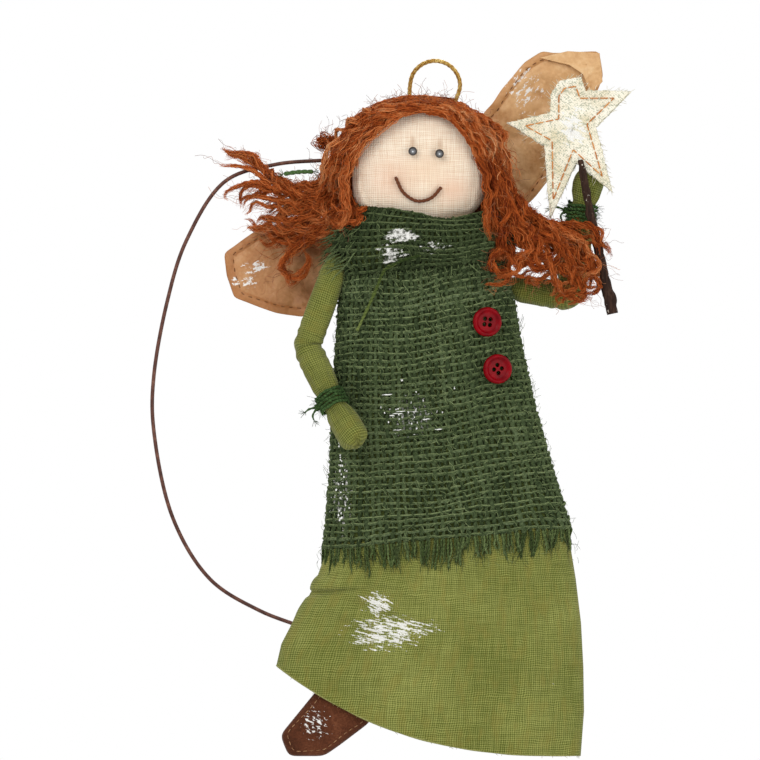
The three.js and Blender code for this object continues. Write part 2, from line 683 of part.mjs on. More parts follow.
function skirtPoint(turn, ring, out) {
  const start = sectionAt(-SKIRT_FLARE_DROP);
  const rings = [
    {
      left: start.left - skirtInset,
      right: start.right - skirtInset,
      halfDepth: start.halfDepth - skirtInset,
    },
    ...SKIRT_RINGS,
  ];
  const row = Math.min(Math.floor(ring), rings.length - 2);
  const share = ring - row;
  const left = mix(rings[row].left, rings[row + 1].left, share);
  const right = mix(rings[row].right, rings[row + 1].right, share);
  const fall = ring / SKIRT_RINGS.length;
  const fold = 1 + FOLD_DEPTH * fall * Math.cos(FOLDS * turn);
  const halfDepth = mix(rings[row].halfDepth, rings[row + 1].halfDepth, share) * fold;
  return point(
    (right - left) / 2 + ((right + left) / 2 + out) * Math.cos(turn),
    (halfDepth + out) * Math.sin(turn),
    mix(-SKIRT_FLARE_DROP, skirtHem(turn), fall),
  );
}

function skirtSkin(out) {
  const tucked = [SKIRT_TOP_DROP, ...TUNIC_RINGS.slice(5, 7).map(({ drop }) => drop)];
  return [
    ...tucked.map((drop) => bodyRing(-drop, out - skirtInset, BODY_SIDES)),
    ...[0, ...SKIRT_RINGS.map((_, row) => row + 1)].map((ring) => (
      turns(BODY_SIDES).map((turn) => skirtPoint(turn, ring, out))
    )),
  ];
}

angel.add(piece('skirt', clothTube(skirtSkin(0), skirtSkin(-SKIRT_THICKNESS)), OLIVE));

// Buttons, square to the tunic's front
function buttonBody() {
  const radius = BUTTON_DIAMETER / 2;
  const dish = BUTTON_THICKNESS - BUTTON_DISH;
  const profile = [
    [0, 0], [radius - 0.5, 0], [radius, 0.6], [radius - 0.15, BUTTON_THICKNESS - 0.3],
    [radius - 0.5, BUTTON_THICKNESS], [radius - BUTTON_RIM, BUTTON_THICKNESS - 0.1],
    [radius - BUTTON_RIM - 0.5, dish], [0, dish],
  ].map(([r, h]) => new THREE.Vector2(r, h));
  const half = BUTTON_HOLE_SPACING / 2;
  const bore = new THREE.CylinderGeometry(BUTTON_HOLE / 2, BUTTON_HOLE / 2, 3 * BUTTON_THICKNESS, CORD_SIDES);
  const places = [[half, 0], [-half, 0], [0, half], [0, -half]];
  const holes = places.map(([x, z]) => bore.clone().translate(x, 0, z));
  return cut(new THREE.LatheGeometry(profile, 22), ...holes);
}

for (const { name, side, drop, turn } of BUTTONS) {
  const { middle, halfWidth, halfDepth } = sectionAt(-drop);
  const across = (side - middle) / halfWidth;
  const seat = point(side, -bodyDepth(side, -drop, 0), -drop);
  const outward = point(across / halfWidth, seat.y / halfDepth ** 2, 0).normalize();
  const button = piece(name, buttonBody(), RED);
  button.position.copy(seat.addScaledVector(outward, FIT_GAP));
  button.quaternion.setFromUnitVectors(point(0, 1, 0), outward);
  button.rotateY(radians(turn));
  angel.add(button);
}

// Head with bead eyes and a stitched smile
const eyes = EYES.map(({ name, side, rise }) => ({
  name,
  place: faceFront(side, rise, EYE_DIAMETER / 2 - EYE_SINK),
}));
const bead = (place, grow, sides, rows) => {
  const radius = EYE_DIAMETER / 2 + grow;
  return ellipsoid(place, radius, radius, radius, sides, rows);
};
const sockets = eyes.map(({ place }) => bead(place, FIT_GAP, 12, 8));
angel.add(piece('head', cut(headBody(0, 26, 15), ...sockets), MUSLIN));
for (const { name, place } of eyes) {
  angel.add(piece(name, bead(place, 0, 12, 8), BEAD));
}
const smile = SMILE.map(([side, rise]) => faceFront(side, rise, MOUTH_THREAD / 2 + FIT_GAP));
angel.add(piece('mouth_stitch', cordAlong(smile, MOUTH_THREAD, CORD_SIDES, 16), THREAD));

// Hanging loop: a round bow whose feet reach the head through the hair
const loopRadius = LOOP_WIDTH / 2;
const loopMiddle = point(-LOOP_LEAN, 0, LOOP_CORD / 2 - loopRadius);
const headTop = (x) => {
  const across = (x - headCentre.x) / (HEAD_WIDTH / 2);
  return headCentre.z + (HEAD_HEIGHT / 2) * Math.sqrt(1 - across * across);
};

const loopEnd = (side) => {
  const x = loopMiddle.x + side * loopRadius - Math.max(side, 0) * LOOP_TURN_IN;
  return point(x, headCentre.y, headTop(x) + FIT_GAP + LOOP_CORD / 4);
};
const loopBow = [180, 150, 120, 90, 60, 30, 0].map(radians).map((turn) => point(
  loopMiddle.x + loopRadius * Math.cos(turn),
  0,
  loopMiddle.z + loopRadius * Math.sin(turn),
));
const loopRoute = [loopEnd(-1), ...loopBow, loopEnd(1)];
angel.add(piece('hanging_loop', cordAlong(loopRoute, LOOP_CORD, CORD_SIDES, 30), GOLD));

// Room for the loop in the hair: its route, led on past both feet
const ledOn = (end, before) => end.clone().add(end.clone().sub(before).setLength(2 * LOOP_CORD));
const roomRoute = [
  ledOn(loopRoute[0], loopRoute[1]),
  ...loopRoute,
  ledOn(loopRoute.at(-1), loopRoute.at(-2)),
];
const loopRoom = cordAlong(roomRoute, LOOP_CORD + 2 * FIT_GAP, CORD_SIDES, 36);

// Hair
const crownCentre = headCentre.clone();
crownCentre.z += HEAD_HEIGHT / 2 + CROWN_TOP_THICKNESS - CROWN_HALF_HEIGHT;
const crownHalfWidth = HEAD_WIDTH / 2 + CROWN_SIDE_THICKNESS;
const crownHalfDepth = HEAD_DEPTH / 2 + CROWN_BACK_THICKNESS;

function crownBody(grow) {
  const [wide, deep] = [crownHalfWidth + grow, crownHalfDepth + grow];
  return ellipsoid(crownCentre, wide, deep, CROWN_HALF_HEIGHT + grow, 28, 14);
}

const faceCentreRise = FACE_RISE - HEAD_HEIGHT / 2 - 1;
const faceOpening = new THREE.CylinderGeometry(1, 1, HEAD_DEPTH, 28);
faceOpening.scale(FACE_WIDTH / 2, 1, FACE_RISE - faceCentreRise);
faceOpening.translate(headCentre.x, headCentre.y - HEAD_DEPTH / 2 - 1, headCentre.z + faceCentreRise);
const crownFoot = crownCentre.z - CROWN_SKIRTING;
const belowCrown = box(
  point(crownCentre.x - HEAD_WIDTH, -HEAD_WIDTH, crownFoot - HEAD_HEIGHT),
  point(crownCentre.x + HEAD_WIDTH, HEAD_WIDTH, crownFoot),
);
const crown = cut(crownBody(0), headRoom, faceOpening, belowCrown, loopRoom);
angel.add(piece('hair_crown', crown, JUTE));

// A bunch of locks: rings square to one axis, grooved lengthwise
function bunch(stations, place) {
  return loft(stations.map(({ at, low, high, front, back }, row) => turns(HAIR_SIDES).map((turn) => {
    const lock = 1 + LOCK_DEPTH * Math.cos(LOCKS * turn + row);
    const across = (low + high) / 2 + ((high - low) / 2) * lock * Math.cos(turn);
    const depth = (front + back) / 2 + ((back - front) / 2) * lock * Math.sin(turn);
    return place(at, across, depth);
  })));
}

const crownRoom = cut(crownBody(FIT_GAP), belowCrown.clone().translate(0, 0, -FIT_GAP));
const yarnRoute = HAIR_YARN.map(([x, z]) => point(x, LEFT_BUNCH[3].front, z));
const yarnRoom = cordAlong(yarnRoute, HAIR_YARN_DIAMETER + 2 * FIT_GAP, CORD_SIDES, 8);
const leftBunch = bunch(LEFT_BUNCH, (x, z, y) => point(x, y, z));
const bodyRoom = [crownRoom, headRoom, tunicRoom, collarRoom];
angel.add(piece('hair_left_bunch', cut(leftBunch, ...bodyRoom, yarnRoom, leftArm.room), JUTE));
angel.add(piece('hair_yarn', cordAlong(yarnRoute, HAIR_YARN_DIAMETER, CORD_SIDES, 8), YARN_GREEN));
const armSide = rightShoulder.x - UPPER_ARM_DIAMETER;
const armFront = RIGHT_SHOULDER_BACK - HAND_DIAMETER / 2 - MOVING_GAP;
const behindHair = box(
  point(armSide, armFront, -RIGHT_SHOULDER_DROP - HEAD_WIDTH),
  point(armSide + 2 * HEAD_WIDTH, HEAD_WIDTH, -RIGHT_SHOULDER_DROP + RIGHT_UPPER_LENGTH),
);
const rightBunch = bunch(RIGHT_BUNCH, (z, x, y) => point(x, y, z));
angel.add(piece('hair_right_bunch', cut(rightBunch, ...bodyRoom, behindHair, rightArm.room), JUTE));

// Wand: the twig lies along the right cuff, and the star is stitched to its tip
const cuffFront = RIGHT_SHOULDER_BACK - WRIST_DIAMETER / 2 - FIT_GAP - YARN;
const twigY = cuffFront - FIT_GAP - TWIG_BUTT_DIAMETER / 2;
const twigPath = new THREE.CatmullRomCurve3(TWIG_ROUTE.map(([x, z]) => point(x, twigY, z)));
const twigRows = 14;
const twigRings = Array.from({ length: twigRows + 1 }, (_, row) => {
  const share = row / twigRows;
  const knob = TWIG_KNOB * Math.exp(-(((share - 0.9) / 0.05) ** 2));
  const radius = mix(TWIG_TOP_DIAMETER, TWIG_BUTT_DIAMETER, share) / 2;
  const along = twigPath.getTangentAt(share);
  const across = point(0, 1, 0).cross(along).normalize();
  return turns(CORD_SIDES).map((turn) => twigPath.getPointAt(share)
    .addScaledVector(across, (radius + knob * Math.max(0, -Math.cos(turn))) * Math.cos(turn))
    .add(point(0, radius * Math.sin(turn), 0)));
});
const rightHand = new THREE.Matrix4().multiplyMatrices(rightArm.upper.matrix, rightArm.elbow.matrix).invert();
const wandGroup = new THREE.Group();
rightHand.decompose(wandGroup.position, wandGroup.quaternion, wandGroup.scale);
wandGroup.name = 'wand';
rightArm.elbow.add(wandGroup);
wandGroup.add(piece('wand_twig', loft(twigRings), BARK));
const starFront = twigY + TWIG_TOP_DIAMETER / 2 + FIT_GAP;
wandGroup.add(piece('star_front', plate(STAR, starFront, STAR_CLOTH), STAR_CREAM));
wandGroup.add(piece('star_back', plate(STAR, starFront + STAR_CLOTH + FIT_GAP, STAR_CLOTH), STAR_CREAM));

// Wings, sewn at the root to the back of the collar
function smoothOutline(corners) {
  const curve = new THREE.SplineCurve(corners.map(([x, z]) => new THREE.Vector2(x, z)));
  return curve.getPoints((corners.length - 1) * 3).map((p) => [p.x, p.y]);
}

function insetCorners(corners, distance) {
  const facing = THREE.ShapeUtils.isClockWise(corners.map(([x, z]) => new THREE.Vector2(x, z))) ? 1 : -1;
  return corners.map(([x, z], i) => {
    const [px, pz] = corners[(i + corners.length - 1) % corners.length];
    const [nx, nz] = corners[(i + 1) % corners.length];
    const before = new THREE.Vector2(x - px, z - pz).normalize();
    const after = new THREE.Vector2(nx - x, nz - z).normalize();
    const along = before.add(after).normalize();
    return [x + facing * along.y * distance, z - facing * along.x * distance];
  });
}

function collarBulge(z) {
  const row = THREE.MathUtils.clamp((-z - COLLAR_DROP) / COLLAR_HEIGHT, 0, 1) * (COLLAR_BULGE.length - 1);
  const upper = Math.min(Math.floor(row), COLLAR_BULGE.length - 2);
  return mix(COLLAR_BULGE[upper], COLLAR_BULGE[upper + 1], row - upper);
}

function wing(name, corners) {
  const outline = smoothOutline(corners);
  const [start, end] = [corners[0], corners[corners.length - 1]];
  const seam = [0, 0.25, 0.5, 0.75, 1].map((share) => {
    const [x, z] = [mix(start[0], end[0], share), mix(start[1], end[1], share)];
    return bodyDepth(x, z, CLOTH_GAP + collarBulge(z) + COLLAR_THICKNESS);
  });
  const front = Math.max(...seam) + FIT_GAP;
  const hem = plate(outline, front, WING_HEM_THICKNESS, smoothOutline(insetCorners(corners, WING_HEM)));
  const cloth = plate(outline, front + (WING_HEM_THICKNESS - WING_CLOTH) / 2, WING_CLOTH);
  angel.add(piece(name, join(cloth, hem), WING_BROWN));
}

wing('left_wing', LEFT_WING);
wing('right_wing', RIGHT_WING);

// Wire bow: its upper end rests on the crown's side and its lower end behind the skirt
const bowTopZ = headCentre.z + BOW_TOP_RISE;
const bowUp = (bowTopZ - crownCentre.z) / CROWN_HALF_HEIGHT;
const bowDeep = (BOW_BACK - crownCentre.y) / crownHalfDepth;
const bowTop = point(
  crownCentre.x - crownHalfWidth * Math.sqrt(1 - bowUp * bowUp - bowDeep * bowDeep) - FIT_GAP - BOW_WIRE / 2,
  BOW_BACK,
  bowTopZ,
);
const bowFoot = skirtPoint(radians(BOW_FOOT_ANGLE), BOW_FOOT_RING, FIT_GAP + BOW_WIRE);
const bowRoute = [bowTop, ...BOW_ROUTE.map(([x, z]) => point(x, BOW_BACK, z)), bowFoot];
angel.add(piece('wire_bow', cordAlong(bowRoute, BOW_WIRE, THIN_SIDES, 48), WIRE_BROWN));

export default angel;
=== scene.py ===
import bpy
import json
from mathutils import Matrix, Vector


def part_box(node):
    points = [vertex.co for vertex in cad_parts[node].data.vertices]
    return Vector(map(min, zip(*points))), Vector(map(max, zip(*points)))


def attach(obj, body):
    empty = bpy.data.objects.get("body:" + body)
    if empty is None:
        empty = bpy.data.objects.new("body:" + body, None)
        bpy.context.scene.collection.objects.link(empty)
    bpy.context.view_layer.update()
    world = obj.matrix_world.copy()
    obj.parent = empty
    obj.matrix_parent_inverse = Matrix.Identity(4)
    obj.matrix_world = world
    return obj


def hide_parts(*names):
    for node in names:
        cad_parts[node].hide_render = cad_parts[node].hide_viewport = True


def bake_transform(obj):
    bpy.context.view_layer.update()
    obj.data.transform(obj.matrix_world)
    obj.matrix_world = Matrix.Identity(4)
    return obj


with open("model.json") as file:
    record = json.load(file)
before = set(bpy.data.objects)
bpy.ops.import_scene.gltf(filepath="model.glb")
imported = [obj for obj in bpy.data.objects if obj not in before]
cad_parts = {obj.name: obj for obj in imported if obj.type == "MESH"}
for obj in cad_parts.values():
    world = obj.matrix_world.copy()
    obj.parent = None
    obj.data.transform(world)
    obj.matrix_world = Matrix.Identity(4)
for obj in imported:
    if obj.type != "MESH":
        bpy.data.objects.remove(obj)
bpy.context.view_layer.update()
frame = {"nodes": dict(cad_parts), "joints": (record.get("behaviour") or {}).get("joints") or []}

import itertools
import json
import math

import bmesh
import bpy
import numpy as np
from mathutils import Matrix, Vector

# Lengths are millimetres in the shared frame. Meshes are scaled when they are made.
MM = 0.001
FULL = 2 * np.pi
ANY_TURN = 6.28
TINY = 1e-9
DOWN = np.array([0.0, 0.0, -1.0])
rng = np.random.default_rng(11)

# Directions that a tube's section is set out from
UPWARD = (0, 0, 1)
ACROSS = (1, 0.3, 0)
THROUGH = (0.1, 1, 0.2)
CARRIED = "carried"


# Points and lines

def arr(*rows):
    return np.array(rows, float)


def unit(v):
    return v / np.maximum(np.linalg.norm(v, axis=-1, keepdims=True), TINY)


def steps(count):
    """Even shares from 0 to 1, one to a row."""
    return np.linspace(0, 1, count)[:, None]


def around(sides):
    """Even angles of a full turn."""
    return np.linspace(0, FULL, sides, endpoint=False)


def ring_shares(count):
    """Even shares of the way round."""
    return np.arange(count) / count


def bell(x, middle, width):
    """A smooth bump of height 1."""
    return np.exp(-((x - middle) / width) ** 2)


def spacing(path):
    """The distance from each point of a line to the next."""
    return np.linalg.norm(np.diff(path, axis=0), axis=1)


def distance_along(path):
    return np.concatenate([[0], np.cumsum(spacing(path))])


def resample(path, count):
    """The same line with evenly spaced points."""
    along = distance_along(path)
    at = np.linspace(0, along[-1], count)
    return np.stack([np.interp(at, along, column) for column in path.T], axis=1)


def closed(values):
    """The values of a closed line, led on past its start."""
    return np.concatenate([values, values[:2]])


def between(t, low, high, a, b):
    """From a, where t is low, to b, where t is high."""
    return (high - t) / (high - low) * a + (t - low) / (high - low) * b


def smooth_line(points, count):
    """A centripetal spline through the points."""
    p = np.asarray(points, float)
    p = np.vstack([2 * p[0] - p[1], p, 2 * p[-1] - p[-2]])
    shortest, parts = 1e-4, 20
    knot = np.maximum(spacing(p) ** 0.5, shortest)
    runs = []
    for i in range(1, len(p) - 2):
        t0, t1, t2, t3 = np.concatenate([[0], np.cumsum(knot[i - 1:i + 2])])
        t = np.linspace(t1, t2, parts, endpoint=False)[:, None]
        a = between(t, t0, t1, p[i - 1], p[i])
        b = between(t, t1, t2, p[i], p[i + 1])
        c = between(t, t2, t3, p[i + 1], p[i + 2])
        runs.append(between(t, t1, t2, between(t, t0, t2, a, b), between(t, t1, t3, b, c)))
    return resample(np.vstack(runs + [p[-2][None]]), count)


def carried_frame(along):
    """A side vector carried along a line without twisting."""
    upright = 0.9
    start = np.cross(along[0], UPWARD if abs(along[0][2]) < upright else (0, 1, 0))
    sides = [start / np.linalg.norm(start)]
    for t in along[1:]:
        s = sides[-1] - t * np.dot(sides[-1], t)
        sides.append(s / max(np.linalg.norm(s), TINY))
    return np.array(sides)


def line_frame(path, ref=CARRIED):
    """Along, side and up vectors at each point of a line."""
    along = unit(np.gradient(path, axis=0))
    side = carried_frame(along) if ref is CARRIED else unit(np.cross(along, np.asarray(ref, float)))
    return along, side, np.cross(side, along)


def beside(path, side, up, angle, distance):
    """Points round a line, each at an angle and a distance from it."""
    return path + side * (distance * np.cos(angle))[..., None] + up * (distance * np.sin(angle))[..., None]


class Ripple:
    """Smooth repeatable waviness: a sum of sines over points."""

    def __init__(self, seed, size, dims=3):
        r = np.random.default_rng(seed)
        terms = 7
        self.k = unit(r.normal(size=(terms, dims))) * (FULL / size) * r.uniform(0.6, 1.7, (terms, 1))
        self.phase = r.uniform(0, ANY_TURN, terms)

    def __call__(self, p):
        p = np.asarray(p, float)
        return np.sin(p @ self.k.T + self.phase).sum(-1) / math.sqrt(len(self.phase))


# Meshes

def new_object(name, data):
    obj = bpy.data.objects.new(name, data)
    bpy.context.scene.collection.objects.link(obj)
    return obj


def shade_smooth(mesh):
    mesh.polygons.foreach_set("use_smooth", np.ones(len(mesh.polygons), bool))


def round_faces(n, m):
    """The faces of a skin of n rings of m points, and the row and column where each starts."""
    i, k = np.divmod(np.arange((n - 1) * m), m)
    right = (k + 1) % m
    return np.stack([i * m + k, i * m + right, (i + 1) * m + right, (i + 1) * m + k], 1), i, k


def corner_uvs(uv, i, k):
    """The uv values at the four corners of each face."""
    return np.stack([uv[i, k], uv[i, k + 1], uv[i + 1, k + 1], uv[i + 1, k]], 1).reshape(-1, 2)


class Pile:
    """Collects skins and tubes, then makes one mesh object of them."""

    def __init__(self):
        self.skins = []

    def grid(self, rows, tint=0.5, uv=None):
        """A skin over rings of points. uv has two values for each point, and one column more."""
        n, m = rows.shape[:2]
        faces, i, k = round_faces(n, m)
        if uv is None:
            uv = np.zeros((n, m + 1, 2))
        tint = np.asarray(tint, float)
        if tint.ndim == 1:
            tint = tint[:, None]
        tints = np.broadcast_to(tint, (n, m)).ravel()
        self.skins.append((rows.reshape(-1, 3), faces, corner_uvs(uv, i, k), tints))

    def tube(self, path, radius, sides=6, tint=0.5, ref=UPWARD, lobes=0, lobe=0.0, pitch=1.0, taper=True):
        """A tube along one line. With lobes its section is a twist of that many plies."""
        _, side, up = line_frame(path, ref)
        length = distance_along(path)
        turn = around(sides)[None]
        size = np.broadcast_to(np.asarray(radius, float), (len(path),)).copy()
        if taper:
            size[[0, -1]] *= 0.35
        twist = 1 - lobe + lobe * np.cos(lobes * turn + FULL * length[:, None] / pitch)
        rows = beside(path[:, None], side[:, None], up[:, None], turn, size[:, None] * twist)
        uv = np.stack(np.meshgrid(length, np.linspace(0, 1, sides + 1), indexing="ij"), -1)
        self.grid(rows, tint, uv)

    def plied(self, path, radius, sides, tint, lobe, pitch, taper=True):
        """A yarn of two plies."""
        self.tube(path, radius, sides, tint, CARRIED, 2, lobe, pitch, taper)

    def fibre(self, start, way, radius, tint, points, ref=ACROSS):
        """One straight loose fibre."""
        self.tube(start + steps(points) * way, radius, 4, tint, ref)

    def hairs(self, paths, radius, tint):
        """Many thin tubes of equal point count in one skin: paths is strands by points by 3."""
        sides = 3
        s, n = paths.shape[:2]
        along = unit(np.gradient(paths, axis=1))
        side = unit(np.cross(along, unit(np.random.default_rng(s).normal(size=(s, 1, 3)))))
        up = np.cross(side, along)
        size = np.broadcast_to(radius, (s, n))[..., None]
        rings = beside(paths[:, :, None], side[:, :, None], up[:, :, None], around(sides), size)
        faces, i, k = round_faces(n, sides)
        faces = (np.arange(s) * n * sides)[:, None, None] + faces
        uv = np.stack(np.meshgrid(np.linspace(0, 1, n), np.arange(sides + 1) / sides, indexing="ij"), -1)
        corners = np.tile(corner_uvs(uv, i, k), (s, 1))
        tints = np.repeat(np.broadcast_to(tint, (s, n)).ravel(), sides)
        self.skins.append((rings.reshape(-1, 3), faces.reshape(-1, 4), corners, tints))

    def points(self):
        return np.vstack([skin[0] for skin in self.skins])

    def split(self):
        """The same skins in smaller piles, each up to a number of faces."""
        most = 96000
        piles = [Pile()]
        for skin in self.skins:
            if sum(len(faces) for _, faces, _, _ in piles[-1].skins) + len(skin[1]) > most:
                piles.append(Pile())
            piles[-1].skins.append(skin)
        return piles

    def build(self, name, look):
        verts, faces, uvs, tints = zip(*self.skins)
        starts = np.cumsum([0] + [len(part) for part in verts[:-1]])
        faces = np.vstack([part + start for part, start in zip(faces, starts)])
        mesh = bpy.data.meshes.new(name)
        mesh.from_pydata((np.vstack(verts) * MM).tolist(), [], faces.tolist())
        layer = mesh.uv_layers.new(name="UVMap")
        layer.data.foreach_set("uv", np.vstack(uvs).astype(np.float32).ravel())
        tint = mesh.attributes.new("tint", "FLOAT", "POINT")
        tint.data.foreach_set("value", np.concatenate(tints).astype(np.float32))
        shade_smooth(mesh)
        mesh.materials.append(look)
        return new_object(name, mesh)


def skin_of(rows, tint=0.5, uv=None):
    """A pile with one skin."""
    pile = Pile()
    pile.grid(rows, tint, uv)
    return pile


def give(obj, body, slot, *nodes):
    """The piece rides on a body and stands for nodes. slot is not used."""
    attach(obj, body)
    if nodes:
        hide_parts(*nodes)
    return obj


def give_split(pile, name, look, body, slot, *nodes):
    """A big pile as several pieces, the first of which stands for the nodes."""
    return [give(part.build(f"{name}_{k + 1}", look), body, slot, *(nodes if k == 0 else ()))
            for k, part in enumerate(pile.split())]


def thicken(obj, thickness):
    mod = obj.modifiers.new("thickness", "SOLIDIFY")
    mod.thickness = thickness * MM
    mod.offset = 0.0
    return obj


def apply_modifiers(obj):
    """Gives the object the mesh that its modifiers make."""
    bpy.context.view_layer.update()
    made = bpy.data.meshes.new_from_object(obj.evaluated_get(bpy.context.evaluated_depsgraph_get()))
    obj.modifiers.clear()
    obj.data = made
    return made


def points_of(mesh):
    co = np.empty(len(mesh.vertices) * 3)
    mesh.vertices.foreach_get("co", co)
    return co.reshape(-1, 3) / MM


def softened_copy(name, node, look, voxel, rounds):
    """An evenly meshed and smoothed copy of a solid, with its points and normals."""
    mesh = frame["nodes"][node].data.copy()
    obj = new_object(name, mesh)
    mesh.materials.clear()
    mesh.materials.append(look)
    remesh = obj.modifiers.new("remesh", "REMESH")
    remesh.mode = "VOXEL"
    remesh.voxel_size = voxel * MM
    soft = obj.modifiers.new("soft", "SMOOTH")
    soft.iterations = rounds
    made = apply_modifiers(obj)
    return obj, points_of(made), np.array([v.normal for v in made.vertices])


def move_points(obj, points):
    obj.data.vertices.foreach_set("co", (points * MM).ravel())
    shade_smooth(obj.data)


def swollen(points, faces, held, most, pressure):
    """Points of a skin after it swells as cloth with air inside, none moved farther than most.

    The cloth is worked at ten times its size, because at true size the forces are too small to move it."""
    grown = 10 * MM
    frames = 20
    mesh = bpy.data.meshes.new("start")
    mesh.from_pydata((points * grown).tolist(), [], faces)
    obj = new_object("start", mesh)
    group = obj.vertex_groups.new(name="held")
    group.add([int(k) for k in np.flatnonzero(held)], 1.0, "REPLACE")
    cloth = obj.modifiers.new("swell", "CLOTH").settings
    cloth.vertex_group_mass = group.name
    cloth.use_pressure = True
    cloth.uniform_pressure_force = pressure
    cloth.effector_weights.gravity = 0.0
    for step in range(1, frames + 1):
        bpy.context.scene.frame_set(step)
    shape = obj.evaluated_get(bpy.context.evaluated_depsgraph_get()).data
    moved = points_of(shape) * MM / grown - points
    bpy.context.scene.frame_set(1)
    bpy.data.objects.remove(obj)
    far = np.linalg.norm(moved, axis=1, keepdims=True)
    return points + moved * np.minimum(1.0, most / np.maximum(far, TINY))


def swollen_grid(rows, held, most, pressure):
    """The same for a skin of rings; held has one flag for each point."""
    n, m = rows.shape[:2]
    flags = np.broadcast_to(held, (n, m)).ravel()
    faces = round_faces(n, m)[0].tolist()
    return swollen(rows.reshape(-1, 3), faces, flags, most, pressure).reshape(rows.shape)


# Materials. Colours are sRGB, 0 to 255.

# White of the strokes that are partly dry paint and partly painted highlight
WHITE_PAINT_AND_HIGHLIGHT = (244, 243, 238)
COTTON_PITCH = 0.64


def colour(r, g, b):
    """An sRGB colour as linear values."""
    out = []
    for c in (r, g, b):
        c = c / 255
        out.append(c / 12.92 if c <= 0.04045 else ((c + 0.055) / 1.055) ** 2.4)
    return (*out, 1.0)


class Nodes:
    """Adds nodes to a tree and links them."""

    def __init__(self, tree):
        self.tree = tree

    def set(self, node, inputs):
        for name, value in inputs.items():
            socket = node.inputs[name]
            if isinstance(value, bpy.types.NodeSocket):
                self.tree.links.new(value, socket)
            else:
                socket.default_value = value

    def add(self, kind, inputs=None, **props):
        node = self.tree.nodes.new("ShaderNode" + kind)
        for name, value in props.items():
            setattr(node, name, value)
        self.set(node, inputs or {})
        return node

    def math(self, op, a, b=0.0, c=0.0):
        return self.add("Math", {0: a, 1: b, 2: c}, operation=op).outputs[0]


class Look(Nodes):
    """A node material in the making."""

    def __init__(self, name, roughness, metallic=0.0, sheen=0.0, specular=0.3):
        self.mat = bpy.data.materials.new(name)
        self.mat.use_nodes = True
        super().__init__(self.mat.node_tree)
        self.shader = self.tree.nodes["Principled BSDF"]
        self.set(self.shader, {"Roughness": roughness, "Metallic": metallic, "Sheen Weight": sheen,
                               "Specular IOR Level": specular})
        self.normal = None

    def weighted(self, *terms):
        """The sum of values, each given with its weight."""
        total = 0.0
        for value, weight in reversed(terms):
            total = self.math("MULTIPLY_ADD", value, weight, total)
        return total

    def wave(self, value, pitch):
        return self.math("SINE", self.math("MULTIPLY", value, FULL / pitch))

    def place(self):
        return self.add("TexCoord").outputs["Object"]

    def uv(self):
        return self.add("TexCoord").outputs["UV"]

    def parts(self, vector):
        return self.add("SeparateXYZ", {0: vector}).outputs

    def tint(self):
        return self.add("Attribute", attribute_name="tint").outputs["Fac"]

    def stretch(self, vector, scale, turn=(0, 0, 0)):
        return self.add("Mapping", {"Vector": vector, "Scale": scale, "Rotation": turn}).outputs[0]

    def noise(self, vector, scale, detail=3.0, rough=0.55):
        inputs = {"Vector": vector, "Scale": scale, "Detail": detail, "Roughness": rough}
        return self.add("TexNoise", inputs).outputs[0]

    def far(self, centre, size):
        """The distance from a centre, counted in sizes along each axis."""
        moved = self.add("VectorMath", {0: self.place(), 1: [c * MM for c in centre]}, operation="SUBTRACT")
        shrunk = self.add("VectorMath", {0: moved.outputs[0], 1: [s * MM for s in size]}, operation="DIVIDE")
        return self.add("VectorMath", {0: shrunk.outputs[0]}, operation="LENGTH").outputs["Value"]

    def ramp(self, fac, *stops):
        node = self.add("ValToRGB", {0: fac})
        ends = node.color_ramp.elements
        while len(ends) < len(stops):
            ends.new(0.5)
        for end, (at, tone) in zip(ends, stops):
            end.position = at
            end.color = colour(*tone)
        return node.outputs[0]

    def step(self, value, low, high):
        inputs = {0: value, 1: low, 2: high, 3: 0.0, 4: 1.0}
        return self.add("MapRange", inputs, interpolation_type="SMOOTHSTEP").outputs[0]

    def mix(self, cover, amount, base, tone):
        """Puts a tone over the base, by no more than amount."""
        inputs = {0: self.math("MULTIPLY", cover, amount), 6: base, 7: colour(*tone)}
        return self.add("Mix", inputs, data_type="RGBA").outputs[2]

    def bump(self, height, depth):
        """Adds relief; depth is its height in mm."""
        inputs = {"Height": height, "Distance": depth * MM}
        if self.normal is not None:
            inputs["Normal"] = self.normal
        self.normal = self.add("Bump", inputs).outputs[0]

    def paint_and_highlight(self, base, patches):
        """White strokes like dry brushing, partly white paint and partly painted highlight. A patch is
        centre, size, stroke scale, amount, turn and stroke draw.
        """
        for centre, size, scale, amount, turn, drawn in patches:
            place = self.place()
            inside = self.math("SUBTRACT", 1.0, self.step(self.far(centre, size), 0.15, 1.0))
            turned = self.stretch(place, (1, 1, 1), (0, turn, 0))
            strokes = self.noise(self.stretch(turned, (drawn, 1.0, 2.8)), scale, 4.0, 0.65)
            grain = self.math("MULTIPLY_ADD", self.noise(place, 1500.0, 2.0), 0.34, -0.17)
            paint = self.math("ADD", self.math("MULTIPLY_ADD", inside, amount, strokes), grain)
            base = self.mix(self.step(paint, 0.78, 0.86), 0.93, base, WHITE_PAINT_AND_HIGHLIGHT)
        return base

    def done(self, base):
        self.set(self.shader, {"Base Color": base})
        if self.normal is not None:
            self.set(self.shader, {"Normal": self.normal})
        return self.mat


def grain_look(name, scale, depth, *stops, detail=3.0, draw=(1, 1, 1), **shader):
    """A colour that varies with one noise, which is its relief too."""
    look = Look(name, **shader)
    grain = look.noise(look.stretch(look.place(), draw), scale, detail)
    if depth:
        look.bump(grain, depth)
    return look.done(look.ramp(grain, *stops))


